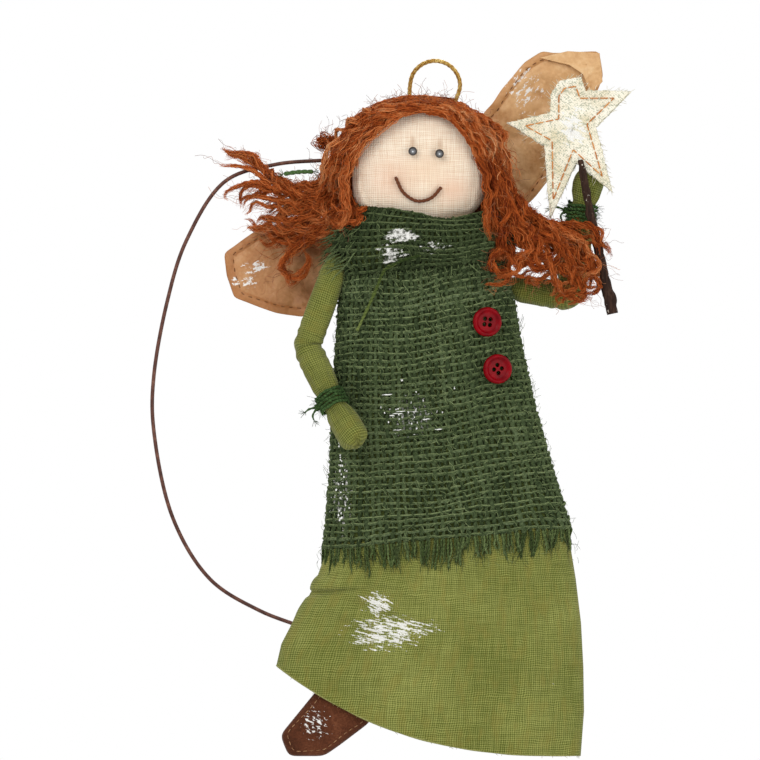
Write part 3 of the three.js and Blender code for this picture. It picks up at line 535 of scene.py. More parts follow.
def yarn_look(name, dark, middle, light, ply=1.3, sheen=0.0, depth=0.12, paint_and_highlight=(), cloud=0.22):
    """Spun yarn: plies that wind along the tube, fibres and uneven tone."""
    look = Look(name, 0.92, sheen=sheen, specular=0.15)
    length, turn, _ = look.parts(look.uv())
    ridge = look.wave(look.weighted((length, 1 / ply), (turn, 2.0)), 1.0)
    fibre = look.noise(look.place(), 2600.0, 2.0)
    patch = look.noise(look.place(), 120.0)
    shade = look.weighted((ridge, 0.06), (look.tint(), 0.55), (fibre, 0.30), (patch, cloud))
    base = look.ramp(shade, (0.22, dark), (0.52, middle), (0.86, light))
    look.bump(ridge, depth)
    look.bump(fibre, depth * 0.6)
    return look.done(look.paint_and_highlight(base, paint_and_highlight))


def thread_look(name, dark, middle, light, ply, depth):
    return yarn_look(name, dark, middle, light, ply, 0.15, depth)


def cloth_look(name, dark, light, pitch, by_uv=True, sheen=0.12, depth=0.05, slub=0.5, contrast=0.16,
               paint_and_highlight=(), blush_and_shade=(), warm=None):
    """Plain-woven cotton: crossing threads, slubs and soft unevenness."""
    look = Look(name, 0.9, sheen=sheen, specular=0.2)
    place = look.place()
    if by_uv:
        flat = look.uv()
        u, v, _ = look.parts(flat)
    else:
        x, _, z = look.parts(place)
        u, v = (look.math("MULTIPLY", part, 1 / MM) for part in (x, z))
        flat = look.add("CombineXYZ", {0: u, 1: v}).outputs[0]
    across = look.noise(look.stretch(flat, (0.10, 1.9, 1.0)), 1.0, 2.0)
    down = look.noise(look.stretch(flat, (1.9, 0.10, 1.0)), 1.0, 2.0)
    bend = look.math("MULTIPLY", look.noise(flat, 0.12, 2.0), 2.0)
    warp, weft = (look.wave(look.math("ADD", part, bend), pitch) for part in (u, v))
    weave = look.weighted((warp, 0.5), (weft, 0.5))
    threads = look.weighted((across, slub), (down, slub))
    shade = look.weighted((weave, contrast), (threads, 0.75), (look.noise(place, 45.0), 0.28))
    base = look.ramp(shade, (0.25, dark), (0.80, light))
    if warm:
        area = look.noise(look.stretch(flat, (0.30, 0.12, 1.0)), 1.0, 3.0, 0.6)
        base = look.mix(look.step(area, 0.45, 0.68), 0.32, base, warm)
    # Soft patches of pink cheek colour and of painted shade
    for centre, size, tone in blush_and_shade:
        inside = look.math("SUBTRACT", 1.0, look.step(look.far(centre, size), 0.0, 1.0))
        base = look.mix(inside, 0.55, base, tone)
    look.bump(weave, depth)
    look.bump(threads, depth * 2.0)
    return look.done(look.paint_and_highlight(base, paint_and_highlight))


# Camera, light and stage

VIEW_X, VIEW_Z, VIEW_SIZE = -16.5, -95.4, 228.0
CAMERA_AWAY = 3000.0
AMBIENT = 0.70
LAMP_AIM = Vector((-0.015, 0, -0.09))
FLOOR_HALF, FLOOR_LEVEL = 0.4, -0.262

camera_data = bpy.data.cameras.new("camera")
camera_data.sensor_width = 36.0
camera_data.lens = camera_data.sensor_width * CAMERA_AWAY / VIEW_SIZE
camera_data.clip_start, camera_data.clip_end = 0.01, 10.0
camera = new_object("camera", camera_data)
camera.location = (VIEW_X * MM, -CAMERA_AWAY * MM, VIEW_Z * MM)
camera.rotation_euler = (math.pi / 2, 0, 0)
bpy.context.scene.camera = camera
bpy.context.scene.view_settings.view_transform = "Standard"

# White where it is seen, darker where it lights
world = bpy.data.worlds.new("studio")
bpy.context.scene.world = world
world.use_nodes = True
sky = Nodes(world.node_tree)
rays = sky.add("LightPath").outputs
shown = sky.math("MAXIMUM", rays["Is Camera Ray"], rays["Is Glossy Ray"])
shown = sky.math("MAXIMUM", shown, rays["Is Transmission Ray"])
level = sky.add("MapRange", {0: shown, 3: AMBIENT, 4: 1.0}).outputs[0]
sky.set(world.node_tree.nodes["Background"], {"Color": (1, 1, 1, 1), "Strength": level})

# Each lamp's name, place, size and power
LAMPS = (("key", (-0.55, -0.95, 0.55), 0.8, 5.2),
         ("fill", (0.75, -0.85, -0.05), 0.9, 3.2),
         ("rim", (0.25, 0.95, 0.45), 0.6, 2.6))
for name, place, size, power in LAMPS:
    lamp_data = bpy.data.lights.new(name, "AREA")
    lamp_data.shape = "DISK"
    lamp_data.size = size
    lamp_data.energy = power
    lamp = new_object(name, lamp_data)
    lamp.location = place
    lamp.rotation_euler = (LAMP_AIM - Vector(place)).to_track_quat("-Z", "Y").to_euler()

floor_mesh = bpy.data.meshes.new("floor")
floor_corners = ((-1, -1), (1, -1), (1, 1), (-1, 1))
floor_points = [(x * FLOOR_HALF, y * FLOOR_HALF, FLOOR_LEVEL) for x, y in floor_corners]
floor_mesh.from_pydata(floor_points, [], [(0, 1, 2, 3)])
floor_look = grain_look("floor_white", 8.0, 0.0, (0.3, (238, 238, 237)), (0.7, (243, 243, 242)),
                        roughness=0.9)
floor_mesh.materials.append(floor_look)
floor = new_object("floor", floor_mesh)


# The dressed body's sections

# Depth below the loop, widths left and right of the middle, and half depth
RINGS = arr([40, 22.667, 17.633, 8.0], [48, 25, 19.5, 8.6], [60, 28.5, 22.3, 9.5], [83.4, 30, 26.1, 9.8],
            [104, 31.3, 30.6, 9.6], [125, 32.1, 36.6, 9.6], [139, 33.3, 41.1, 9.9], [147, 34.1, 42.3, 10.2],
            [155, 36.9, 43.6, 10.6])
THICK = 1.1
SLANT = 3.2
HEM = -142.0


def section(z):
    """The middle, half width and half depth of the clothes at a height."""
    left, right, deep = (np.interp(-np.asarray(z, float), RINGS[:, 0], RINGS[:, k]) for k in (1, 2, 3))
    return (right - left) / 2, (right + left) / 2, deep


def body(turn, z, out):
    """Points round the clothes, out from their own outside."""
    middle, wide, deep = section(z)
    x = middle + (wide + out) * np.cos(turn)
    return np.stack([x, (deep + out) * np.sin(turn), np.broadcast_to(z, np.shape(turn))], -1)


def body_front(x, z, out=0.0):
    middle, wide, deep = section(z)
    across = np.clip((x - middle) / (wide + out), -1, 1)
    return -(deep + out) * np.sqrt(1 - across ** 2)


def even_turn(z, out, share):
    """Angles at even shares of the way round the body, starting at the right edge, and the girth."""
    grid = np.linspace(0, FULL, 721)
    along = distance_along(body(grid, np.full_like(grid, z), out))
    return np.interp(np.mod(share, 1.0) * along[-1], along, grid), along[-1]


# Arms: joints and directions

def down_vector(turn, tilt=0.0):
    turn, tilt = math.radians(turn), math.radians(tilt)
    return arr(-math.cos(tilt) * math.sin(turn), math.sin(tilt), -math.cos(tilt) * math.cos(turn))


HAND = 14.4
WRIST_R = 3.5
joint_at = {joint["name"]: np.array(joint["pos_m"]) / MM for joint in frame["joints"]}
ARMS = {"left": dict(fore=down_vector(-24.9, -21.4), wrist=19.4, swing=60.0),
        "right": dict(fore=down_vector(-171.8), wrist=25.6, swing=40.0)}
for side, arm in ARMS.items():
    arm["shoulder"] = joint_at[side + "_shoulder"]
    arm["elbow"] = joint_at[side + "_elbow"]
    arm["upper"] = unit(arm["elbow"] - arm["shoulder"])
    arm["length"] = float(np.linalg.norm(arm["elbow"] - arm["shoulder"]))


def in_arm(points, room):
    """Which points lie where an upper arm is or swings."""
    hit = np.zeros(points.shape[:-1], bool)
    for arm in ARMS.values():
        for angle in np.linspace(0, math.radians(arm["swing"]), 6):
            c, s = math.cos(angle), math.sin(angle)
            x, y, z = arm["upper"]
            axis = arr(c * x + s * z, y, -s * x + c * z)
            rel = points - arm["shoulder"]
            along = np.clip(rel @ axis, 0, arm["length"])
            hit |= np.linalg.norm(rel - along[..., None] * axis, axis=-1) < room
    return hit


def runs(keep):
    """Start and end of each run of kept points."""
    edge = np.flatnonzero(np.diff(np.concatenate([[0], keep.astype(int), [0]])))
    return list(zip(edge[0::2], edge[1::2]))


# Hanging loop

HEAD = arr(-4.85, -1.0, -31.4)
HEAD_HALF = arr(20.3, 9.0, 18.4)
LOOP_R = 7.5
LOOP_MID = 0.35 - LOOP_R
LOOP_CORD = 0.68
TURN_IN = 2.6


def gold_look():
    look = Look("gold_cord", 0.2, metallic=1.0, specular=0.5)
    length, turn, _ = look.parts(look.uv())
    ridge = look.wave(look.weighted((length, 2.4), (turn, 6.0)), 1.0)
    look.bump(ridge, 0.10)
    tone = look.math("MULTIPLY_ADD", ridge, 0.25, look.noise(look.place(), 700.0))
    return look.done(look.ramp(tone, (0.2, (132, 84, 20)), (0.5, (214, 160, 56)), (0.85, (255, 236, 160))))


def loop_foot(x):
    """Where the cord meets the head."""
    top = HEAD[2] + HEAD_HALF[2] * math.sqrt(1 - ((x - HEAD[0]) / HEAD_HALF[0]) ** 2)
    return [x, HEAD[1], top + 0.7]


arch = [[LOOP_R * math.cos(a), 0.0, LOOP_MID + LOOP_R * math.sin(a)] for a in np.radians(range(180, -1, -30))]
loop_line = smooth_line([loop_foot(-LOOP_R), *arch, loop_foot(LOOP_R - TURN_IN)], 150)
pile = Pile()
pile.tube(loop_line, LOOP_CORD, 18, 0.5, CARRIED, 3, 0.07, 1.5, False)
loop = give(pile.build("loop_cord", gold_look()), "body", "gold_cord", "hanging_loop")


# Tunic: woven yarns over a dark lining

# White strokes on the collar, in the tunic's holes and on its yarns: partly dry paint, partly painted
# highlight
collar_paint_and_highlight = [((-10.5, -13, -52.4), (9.5, 9, 4.2), 300.0, 0.40, 0.2, 0.7),
                ((-13.5, -13, -58.0), (8.5, 9, 5.0), 300.0, 0.42, 0.2, 0.7),
                ((0, -13, -55.5), (9, 9, 3.6), 420.0, 0.27, 0.1, 1.0)]
hole_paint_and_highlight = [((-7, -10, -106), (13, 14, 12), 420.0, 0.44, 0.1, 1.0),
              ((-28.5, -5, -129), (6, 14, 21), 420.0, 0.46, 0.1, 1.0)]
yarn_paint_and_highlight = [((-7, -10, -106), (12, 14, 11), 520.0, 0.20, 0.0, 1.0),
              ((-29, -5, -129), (5, 14, 20), 520.0, 0.22, 0.0, 1.0)]
burlap = yarn_look("burlap_yarn", (42, 54, 30), (76, 90, 58), (116, 130, 96), paint_and_highlight=yarn_paint_and_highlight, cloud=0.5)
cowl_yarn = yarn_look("cowl_yarn", (30, 40, 20), (54, 66, 38), (90, 102, 70), paint_and_highlight=collar_paint_and_highlight)
fibre_look = yarn_look("burlap_fibre", (50, 64, 34), (88, 104, 64), (146, 160, 112), depth=0.02)
cowl_fibre = yarn_look("cowl_fibre", (40, 52, 26), (70, 84, 50), (120, 134, 90), depth=0.02,
                       paint_and_highlight=collar_paint_and_highlight)
# The lining is olive cloth, darkened as painted shade in the weave's holes
lining_look = cloth_look("burlap_lining", (46, 56, 20), (92, 102, 46), 0.9, by_uv=False, sheen=0.0,
                         paint_and_highlight=collar_paint_and_highlight + hole_paint_and_highlight)

TUNIC_TOP, LINING_TOP, SLANT_TOP = -57.0, -48.5, -56.0
WARPS, WEFT_PITCH, PER_WARP = 76, 1.92, 4
YARN, RISE, CORE, LINING_IN = 0.50, 0.20, -0.62, -1.35
ARM_ROOM = 4.2


def tunic_edge(turn, z):
    """A level of the cloth, which slants, and sags a little left of the middle."""
    sag = 1.7 * bell(np.cos(turn), -0.2, 0.5) * np.clip((z - HEM) / 14, 0, 1)
    return z + SLANT * np.cos(turn) - sag


def woven(seed):
    """Weft and warp lines of the tunic's open cloth, with their thickness and each warp's last angle."""
    r = np.random.default_rng(seed)
    count = int(round((TUNIC_TOP - HEM) / WEFT_PITCH))
    levels = np.linspace(TUNIC_TOP, HEM, count)
    wander, fine = Ripple(seed, 30.0, 2), Ripple(seed + 1, 7.0, 2)
    share = ring_shares(WARPS * PER_WARP)
    wefts, angles, warps = [], [], []
    for i, z in enumerate(levels):
        turn, girth = even_turn(z, CORE, share)
        spot = np.stack([share * girth, np.full_like(share, z)], 1)
        drift = 0.40 * wander(spot) + 0.10 * fine(spot) + r.normal(0, 0.12)
        over = 0.10 + RISE * np.cos(np.pi * (share * WARPS + i))
        thick = YARN * 0.84 * (1 + 0.18 * fine(spot * 0.7 + 9)) * r.uniform(0.85, 1.2)
        wefts.append((body(turn, tunic_edge(turn, z) + drift, CORE + over), thick))
        angles.append(turn)
    angles = np.unwrap(np.array(angles), axis=0)
    row = np.linspace(-0.5, count - 0.5, count * 3)
    for j in range(WARPS):
        turn = np.interp(row, np.arange(count), angles[:, j * PER_WARP])
        z = np.interp(row, np.arange(count), levels) - (row - np.clip(row, 0, count - 1)) * WEFT_PITCH
        spot = np.stack([np.full_like(z, j * 2.7), z], 1)
        turn = turn + 0.010 * wander(spot + 40) + 0.004 * fine(spot)
        over = -0.24 - RISE * np.cos(np.pi * (row + j))
        thick = YARN * 1.40 * (1 + 0.18 * fine(spot + 3)) * r.uniform(0.8, 1.15)
        warps.append((body(turn, tunic_edge(turn, z), CORE + over), thick, turn[-1]))
    return wefts, warps


def spun(yarns, fibres, line, radius, shade, ref, room, loose, edge=False):
    """One yarn and the fibres wound loosely round it, left out where an arm passes. With edge, two lighter
    fibres along its upper front are a painted highlight.
    """
    shortest = 4
    radius = np.broadcast_to(radius, (len(line),))
    for a, b in runs(~in_arm(line, room)):
        if b - a < shortest:
            continue
        part, size = line[a:b], radius[a:b]
        yarns.tube(part, size, 6, shade, ref, taper=False)
        _, side, up = line_frame(part, ref)
        length = distance_along(part)
        # Painted highlight: two lighter fibres along the yarn's upper front
        for lean in (1.0, 0.55) if edge else ():
            path = beside(part, side, up, lean + 0.25 * np.sin(length * 0.7 + shade * 9), size * 1.02)
            fibres.tube(path, rng.uniform(0.09, 0.15), 3, rng.uniform(0.6, 1.1), ref)
        for _ in range(loose):
            wind = rng.uniform(0, ANY_TURN) + length / rng.uniform(0.7, 1.4) + rng.normal(0, 0.5, len(part))
            away = size * rng.uniform(0.85, 1.25) + 0.06 * rng.normal(0, 1, len(part))
            path = beside(part, side, up, wind, away)
            fibres.tube(path, rng.uniform(0.09, 0.15), 3, rng.uniform(0.1, 0.95), ref)


def cut_lining(name, rows, room, thickness, node):
    """The dark cloth under the yarns, with armholes."""
    obj = skin_of(rows).build(name, lining_look)
    drop = in_arm(rows.reshape(-1, 3), room)
    bm = bmesh.new()
    bm.from_mesh(obj.data)
    bm.verts.ensure_lookup_table()
    bmesh.ops.delete(bm, geom=[v for v in bm.verts if drop[v.index]], context="VERTS")
    bm.to_mesh(obj.data)
    bm.free()
    return give(thicken(obj, thickness), "body", "burlap", node)


wefts, warps = woven(3)
weft_pile, warp_pile, fibre_pile = Pile(), Pile(), Pile()
# Each weft gets the lighter fibres of painted highlight along its top
for line, radius in wefts:
    spun(weft_pile, fibre_pile, closed(line), closed(radius), rng.uniform(0.0, 0.45), UPWARD, ARM_ROOM, 2,
         edge=True)
for line, radius, _ in warps:
    spun(warp_pile, fibre_pile, line, radius, rng.uniform(-0.3, 0.25), ACROSS, ARM_ROOM, 3)
tunic_weft = give(weft_pile.build("tunic_weft", burlap), "body", "burlap")
tunic_warp = give(warp_pile.build("tunic_warp", burlap), "body", "burlap")
tunic_fibre = give_split(fibre_pile, "tunic_fibre", fibre_look, "body", "burlap")

rows = []
for z in np.linspace(LINING_TOP, HEM + 0.5, 40):
    turn, _ = even_turn(z, LINING_IN, ring_shares(96))
    rows.append(body(turn, tunic_edge(turn, z) if z < SLANT_TOP else np.full_like(turn, z), LINING_IN))
lining = cut_lining("tunic_lining", np.array(rows), ARM_ROOM, 0.25, "tunic")

# Fringe of loose warp ends: two plied ends from each warp, and fibres round them
PLIED = dict(length=(0.85, 1.05), sway=0.05, radius=(0.36, 0.50), tint=(0.25, 0.95), sides=8, lobes=2,
             lobe=0.18)
LOOSE = dict(length=(0.6, 1.2), sway=0.16, radius=(0.07, 0.15), tint=(0.5, 1.2), sides=3, lobes=0, lobe=0.0)
fringe_look = yarn_look("fringe_yarn", (40, 54, 24), (72, 88, 46), (112, 128, 80))
fringe_pile = Pile()
share = steps(14)
for line, _, turn in warps:
    out = arr(math.cos(turn) * 0.35, math.sin(turn), 0)
    lean = rng.normal(0, 0.13) - 0.18 * max(0.0, -math.cos(turn)) ** 6 * np.sign(math.sin(turn))
    whole = rng.uniform(4.4, 9.6)
    bow = rng.normal(0, 0.7, 3) * arr(1, 0.4, 0.2)
    for strand in range(10):
        kind = PLIED if strand < 2 else LOOSE
        apart = arr(0.36 * (2 * strand - 1), 0, 0.3) if kind is PLIED else rng.normal(0, 0.42, 3)
        length = whole * rng.uniform(*kind["length"])
        sway = arr(-math.sin(turn), 0, 0) * (lean + rng.normal(0, kind["sway"]))
        path = line[-1] + out * 0.25 + apart + share * (DOWN + sway + out * 0.03) * length
        curl = np.sin(share * rng.uniform(4, 9) + rng.uniform(0, 6)) * arr(1, 0.4, 0) * rng.uniform(0.2, 0.6)
        path = path + share ** 1.5 * bow + curl * share
        radius = rng.uniform(*kind["radius"]) * (1 - 0.25 * share[:, 0])
        tint = rng.uniform(*kind["tint"])
        fringe_pile.tube(path, radius, kind["sides"], tint, ACROSS, kind["lobes"], kind["lobe"], 1.8)
tunic_fringe = give(fringe_pile.build("tunic_fringe", fringe_look), "body", "burlap")


def fuzz(count, reach, lift, seed):
    """Short fibres that stand off the tunic."""
    r = np.random.default_rng(seed)
    z = r.uniform(-150, -60, count)
    turn, _ = even_turn(-104.0, 0.0, r.uniform(0, 1, count))
    _, wide, deep = section(z)
    normal = unit(np.stack([np.cos(turn) / wide, np.sin(turn) / deep, np.zeros(count)], 1))[:, None]
    side = unit(np.cross(normal, r.normal(size=(count, 3))[:, None]))
    t = steps(6)
    length = r.uniform(0.5, 1.0, (count, 1, 1)) * reach
    curl = unit(r.normal(size=(count, 1, 3)))
    way = side * t + normal * (t * (1.4 - t)) * lift + curl * t ** 2 * 0.35
    return body(turn, z, 0.1)[:, None] + way * length


FUZZ = 2400
fuzz_pile = Pile()
fuzz_pile.hairs(fuzz(FUZZ, 3.4, 0.40, 5), 0.05, rng.uniform(0, 1, (FUZZ, 1)))
tunic_fuzz = give(fuzz_pile.build("tunic_fuzz", fibre_look), "body", "burlap")

# White flecks, partly dry paint and partly painted highlight: the middle of each patch, its spread and the
# number of flecks
FLECKS = ((-8, -105, 5.0, 3.6, 30), (-28, -125, 0.8, 5.0, 26), (-28.4, -136, 0.4, 0.9, 7))
NARROW, STREAK, FLECK_POINTS = 2, 0.4, 6
fleck_paint_and_highlight = grain_look("fleck_paint_and_highlight", 1800.0, 0.05, (0.3, (232, 232, 226)), (0.6, (255, 255, 252)),
                       roughness=0.9, specular=0.1)
fleck_pile = Pile()
for x0, z0, wide, tall, count in FLECKS:
    for _ in range(count):
        x = x0 + rng.normal(0, 1) * wide
        z = z0 + rng.normal(0, 1) * tall
        size = rng.uniform(0.24, 0.46)
        reach = rng.uniform(0.05, 0.22) if rng.uniform() < 0.8 or wide < NARROW else rng.uniform(0.5, 1.6)
        size = size * (0.5 if reach > STREAK else 1.0)
        xs = np.linspace(x - reach, x + reach, FLECK_POINTS)
        zs = z + 0.06 * (xs - x) + 0.04 * rng.normal(0, 1, FLECK_POINTS)
        path = np.stack([xs, body_front(xs, z, 0.42), zs], 1)
        round_ends = np.sin(np.linspace(0.5, 2.6, FLECK_POINTS))
        fleck_pile.tube(path, size * round_ends * rng.uniform(0.8, 1.1, FLECK_POINTS), 7)
tunic_flecks = give(fleck_pile.build("tunic_flecks", fleck_paint_and_highlight), "body", "burlap")


# Collar: a cowl of the same cloth, folded at the top

BULGE = arr(0.2, 1.5, 1.9, 1.2, 0.0)
COLLAR_TOP, COLLAR_TALL, COLLAR_SLANT = -44.5, 16.5, 2.6
COLLAR_WARPS, COLLAR_ROOM = 72, 4.6
COLLAR_LEVEL, COLLAR_OUT = -52.0, 2.5


def cowl(turn, t, out):
    """t runs from the folded top, 0, to the lower edge, 1; below 0 it goes down inside."""
    t = np.broadcast_to(np.asarray(t, float), np.shape(turn))
    outside = np.clip(t, 0, 1)
    bulge = np.interp(outside, np.linspace(0, 1, 5), BULGE)
    z = COLLAR_TOP - COLLAR_TALL * np.abs(t) + COLLAR_SLANT * outside * np.cos(turn)
    dip = 2.7 * bell(np.cos(turn), 0.26, 0.40) * (np.sin(turn) < 0)
    z = z + (1.6 * np.maximum(0, -np.cos(turn)) ** 2 - dip) * (1 - outside)
    inside = np.where(t < 0, -2.4 * np.clip(-t * 9, 0, 1), 0.0)
    fold = 0.55 * np.sin(3 * turn + 5 * t) * outside
    return body(turn, z, 1.5 + bulge + inside + fold + out)


weft_pile, warp_pile, fibre_pile = Pile(), Pile(), Pile()
rows_t = np.concatenate([[-0.22, -0.11], np.linspace(0.0, 1.0, 10)])
share = ring_shares(COLLAR_WARPS * PER_WARP)
turn_at, _ = even_turn(COLLAR_LEVEL, COLLAR_OUT, share)
wander = Ripple(21, 20.0, 2)
for i, t in enumerate(rows_t):
    spot = np.stack([share * 120, np.full_like(share, t * 16)], 1)
    line = cowl(turn_at, t + 0.035 * wander(spot), 0.08 + RISE * np.cos(np.pi * (share * COLLAR_WARPS + i)))
    # Each collar weft gets the lighter fibres of painted highlight along its top
    spun(weft_pile, fibre_pile, closed(line), 0.48 * rng.uniform(0.8, 1.2), rng.uniform(0.2, 0.75), UPWARD,
         COLLAR_ROOM, 3, edge=True)
fine_t = np.linspace(-0.26, 1.05, 44)
fine_i = np.interp(fine_t, rows_t, np.arange(len(rows_t)))
for j in range(COLLAR_WARPS):
    turn = turn_at[j * PER_WARP] + 0.035 * wander(np.stack([np.full_like(fine_t, j * 2.0), fine_t * 16], 1))
    line = cowl(turn, fine_t, -0.2 - RISE * np.cos(np.pi * (fine_i + j)))
    spun(warp_pile, fibre_pile, line, 0.68 * rng.uniform(0.8, 1.2), rng.uniform(0.1, 0.7), ACROSS,
         COLLAR_ROOM, 2)
    for _ in range(2):
        length = rng.uniform(0.8, 2.6)
        way = DOWN + rng.normal(0, 0.5, 3) * arr(1, 0.5, 0.4) + unit(line[-1] * arr(0.3, 1, 0)) * 0.15
        radius = rng.uniform(0.10, 0.22) * np.linspace(1, 0.5, 7)
        fibre_pile.fibre(line[-1], way * length, radius, rng.uniform(0.1, 0.9), 7)

# Frayed corner over the left shoulder
share = steps(9)
for _ in range(110):
    t = rng.uniform(0.25, 0.95)
    turn = math.pi + rng.uniform(-0.25, 0.75)
    start = cowl(np.array([turn]), t, 0.2)[0]
    way = unit(arr(-1.0, -0.25, 0.0) + arr(rng.normal(0, 0.15), rng.normal(0, 0.25), -rng.uniform(0.0, 0.9)))
    path = start + share * way * rng.uniform(2.2, 6.6) + share ** 2 * DOWN * rng.uniform(0, 2.2)
    path = path + 0.2 * np.sin(share * 7 + rng.uniform(0, 6)) * arr(0, 0.5, 1)
    radius = rng.uniform(0.09, 0.26) * (1 - 0.5 * share[:, 0])
    fibre_pile.tube(path, radius, 4, rng.uniform(0.3, 1.0), THROUGH)

# A pulled yarn that hangs down over the tunic; the last value is how far it stands off
PULLED = ((-4.5, -58.2, 4.3), (-10.5, -60, 4.3), (-15, -62.6, 3.6), (-17.7, -68.4, 1.6), (-20.7, -75, 1.0),
          (-23.4, -80.7, 0.8))
PULLED_POINTS = 70
pulled = smooth_line([[x, body_front(x, z, lift) - 0.3, z] for x, z, lift in PULLED], PULLED_POINTS)
pulled_pile = Pile()
share = steps(PULLED_POINTS)
knots = 1 + 0.35 * bell(share, arr(0.62, 0.8, 0.99), 0.025).sum(1)
radius = np.linspace(0.56, 0.46, PULLED_POINTS) * knots
pulled_pile.plied(pulled, radius, 10, np.linspace(-0.3, 0.9, PULLED_POINTS), 0.16, 2.4)
for _ in range(3):
    wobble = Ripple(int(rng.integers(1000)), 6.0, 1)
    sway = np.stack([wobble(30 * share), np.full(PULLED_POINTS, -0.5), wobble(9 + 30 * share)], 1)
    pulled_pile.tube(pulled + sway * 0.35, 0.12, 4, 0.9, CARRIED)
pulled_look = yarn_look("pulled_yarn", (44, 58, 24), (82, 96, 44), (122, 134, 74))
pulled_yarn = give(pulled_pile.build("collar_pulled_yarn", pulled_look), "body", "burlap")
collar_weft = give(weft_pile.build("collar_weft", cowl_yarn), "body", "burlap")
collar_warp = give(warp_pile.build("collar_warp", cowl_yarn), "body", "burlap")
collar_fibre = give(fibre_pile.build("collar_fibre", cowl_fibre), "body", "burlap")
turn_line, _ = even_turn(COLLAR_LEVEL, COLLAR_OUT, ring_shares(90))
rows = np.array([cowl(turn_line, t, -0.75) for t in np.linspace(-0.2, 0.98, 16)])
collar_lining = cut_lining("collar_lining", rows, 4.5, 0.2, "collar")


# Skirt

# The white strokes on the skirt are partly dry paint and partly painted highlight
skirt_look = cloth_look("olive_cotton", (84, 92, 26), (182, 184, 104), COTTON_PITCH, depth=0.10,
                        contrast=0.21, slub=0.34, warm=(136, 122, 52),
                        paint_and_highlight=[((-17.5, -9, -162.4), (9, 9, 8), 620.0, 0.34, -0.45, 0.45),
                               ((-15, -9, -171), (21, 9, 10), 620.0, 0.36, -0.2, 0.4),
                               ((-4, -9, -169.5), (12, 9, 5), 700.0, 0.28, -0.2, 0.25)])
INSET = THICK + 0.4
SKIRT_TOP, SKIRT_INSIDE, SKIRT_WIDE = -155.0, -134.0, 190
HEM_RIGHT, HEM_LEFT = 208.1, 181.2
# Widths left and right of the middle and half depth, from the tunic's hem down
SKIRT = np.vstack([RINGS[-1, 1:] - INSET,
                   arr([39, 43.7, 9.0], [42.6, 44.4, 8.8], [46, 44.6, 8.6], [47.5, 43.6, 8.4])])
crease = Ripple(31, 34.0, 2)
small = Ripple(32, 11.0, 2)


def skirt_hem(turn):
    from_right = (1 - np.cos(turn)) / 2
    return -(HEM_RIGHT + (HEM_LEFT - HEM_RIGHT) * from_right ** 2.6)


def skirt(turn, t, out):
    """t runs from the tunic's hem, 0, to the skirt's own, 1. The left side is tucked and pulled."""
    left, right, deep = (np.interp(t * 4, np.arange(5), SKIRT[:, k]) for k in range(3))
    z = SKIRT_TOP + (skirt_hem(turn) - SKIRT_TOP) * t
    x = (right - left) / 2 + ((right + left) / 2 + out) * np.cos(turn)
    spot = np.stack([x, z], -1)
    facing, flat = np.sign(np.sin(turn)), np.abs(np.sin(turn))
    drag = 0.55 * crease(spot * arr(0.55, 1.5)) + 0.16 * small(spot * arr(0.6, 1.4))
    folds = 1 + 0.16 * t * np.cos(7 * turn)
    y = (deep * folds + out) * np.sin(turn) + facing * drag * flat ** 0.5 * np.minimum(1, t * 3 + 0.2) * 0.75
    at_left = 1 / (1 + np.exp((x + 25) / 3.0))
    tuck = 0.9 * bell(z, -156, 2.4) - 2.2 * bell(z - 0.10 * (x + 35), -159.2, 0.8) + 0.5 * bell(z, -164, 3.0)
    pull = 0.8 * np.sin((z + 0.38 * x) * 0.85) * bell(x, -17, 15) * bell(z, -167, 9)
    y = y + facing * flat ** 0.4 * (tuck * at_left + pull)
    x = x + np.cos(turn) * np.maximum(0, -np.cos(turn)) ** 4 * np.maximum(tuck, -0.5) * at_left
    return np.stack([x, y, z], -1)


columns = 250
share = np.arange(columns + 1) / columns
turn_line, _ = even_turn(SKIRT_TOP, -1.0, share)
turn_line[-1] = FULL
rows, uvs = [], []
for z in np.linspace(SKIRT_INSIDE, SKIRT_TOP + 1, 10):
    rows.append(body(turn_line[:-1], np.full(columns, z), -INSET - 0.1))
    uvs.append(np.stack([share * SKIRT_WIDE, np.full(columns + 1, z)], 1))
for t in np.linspace(0, 1, 90):
    rows.append(skirt(turn_line[:-1], np.full(columns, t), -0.1))
    uvs.append(np.stack([share * SKIRT_WIDE, SKIRT_TOP + (skirt_hem(turn_line) - SKIRT_TOP) * t], 1))
skirt_cloth = thicken(skin_of(np.array(rows), uv=np.array(uvs)).build("skirt_cloth", skirt_look), 0.45)
give(skirt_cloth, "body", "olive_cotton", "skirt")

# Raw threads along the skirt's edge
hem_look = yarn_look("hem_thread", (92, 94, 40), (128, 130, 70), (168, 166, 112), depth=0.03)
pile = Pile()
hem_turn = np.linspace(0, FULL, 260)
edge = skirt(hem_turn, np.ones_like(hem_turn), -0.05)
pile.tube(edge + arr(0, 0, 0.15), 0.26 + 0.05 * small(edge[:, :2]), 6, 0.6)
for k in rng.integers(0, 259, 40):
    way = arr(rng.normal(0, 0.5), rng.normal(0, 0.2), -0.6) * rng.uniform(0.5, 1.5)
    pile.fibre(edge[k], way, 0.06, rng.uniform(0.3, 1.0), 5)
give(pile.build("skirt_edge", hem_look), "body", "olive_cotton")


# Buttons

BUTTON_R, BUTTON_THICK = 4.45, 1.9
HOLE_R, HOLE_AT = 0.66, 1.2
# How far each point of the profile is in from the rim, and its height
BUTTON_PROFILE = arr([BUTTON_R, 0], [0.7, 0], [0.1, 0.35], [0, 0.9], [0.12, 1.5], [0.5, BUTTON_THICK],
                     [0.95, BUTTON_THICK - 0.04], [1.45, BUTTON_THICK - 0.5], [2.2, BUTTON_THICK - 0.62],
                     [BUTTON_R - 0.02, BUTTON_THICK - 0.66])


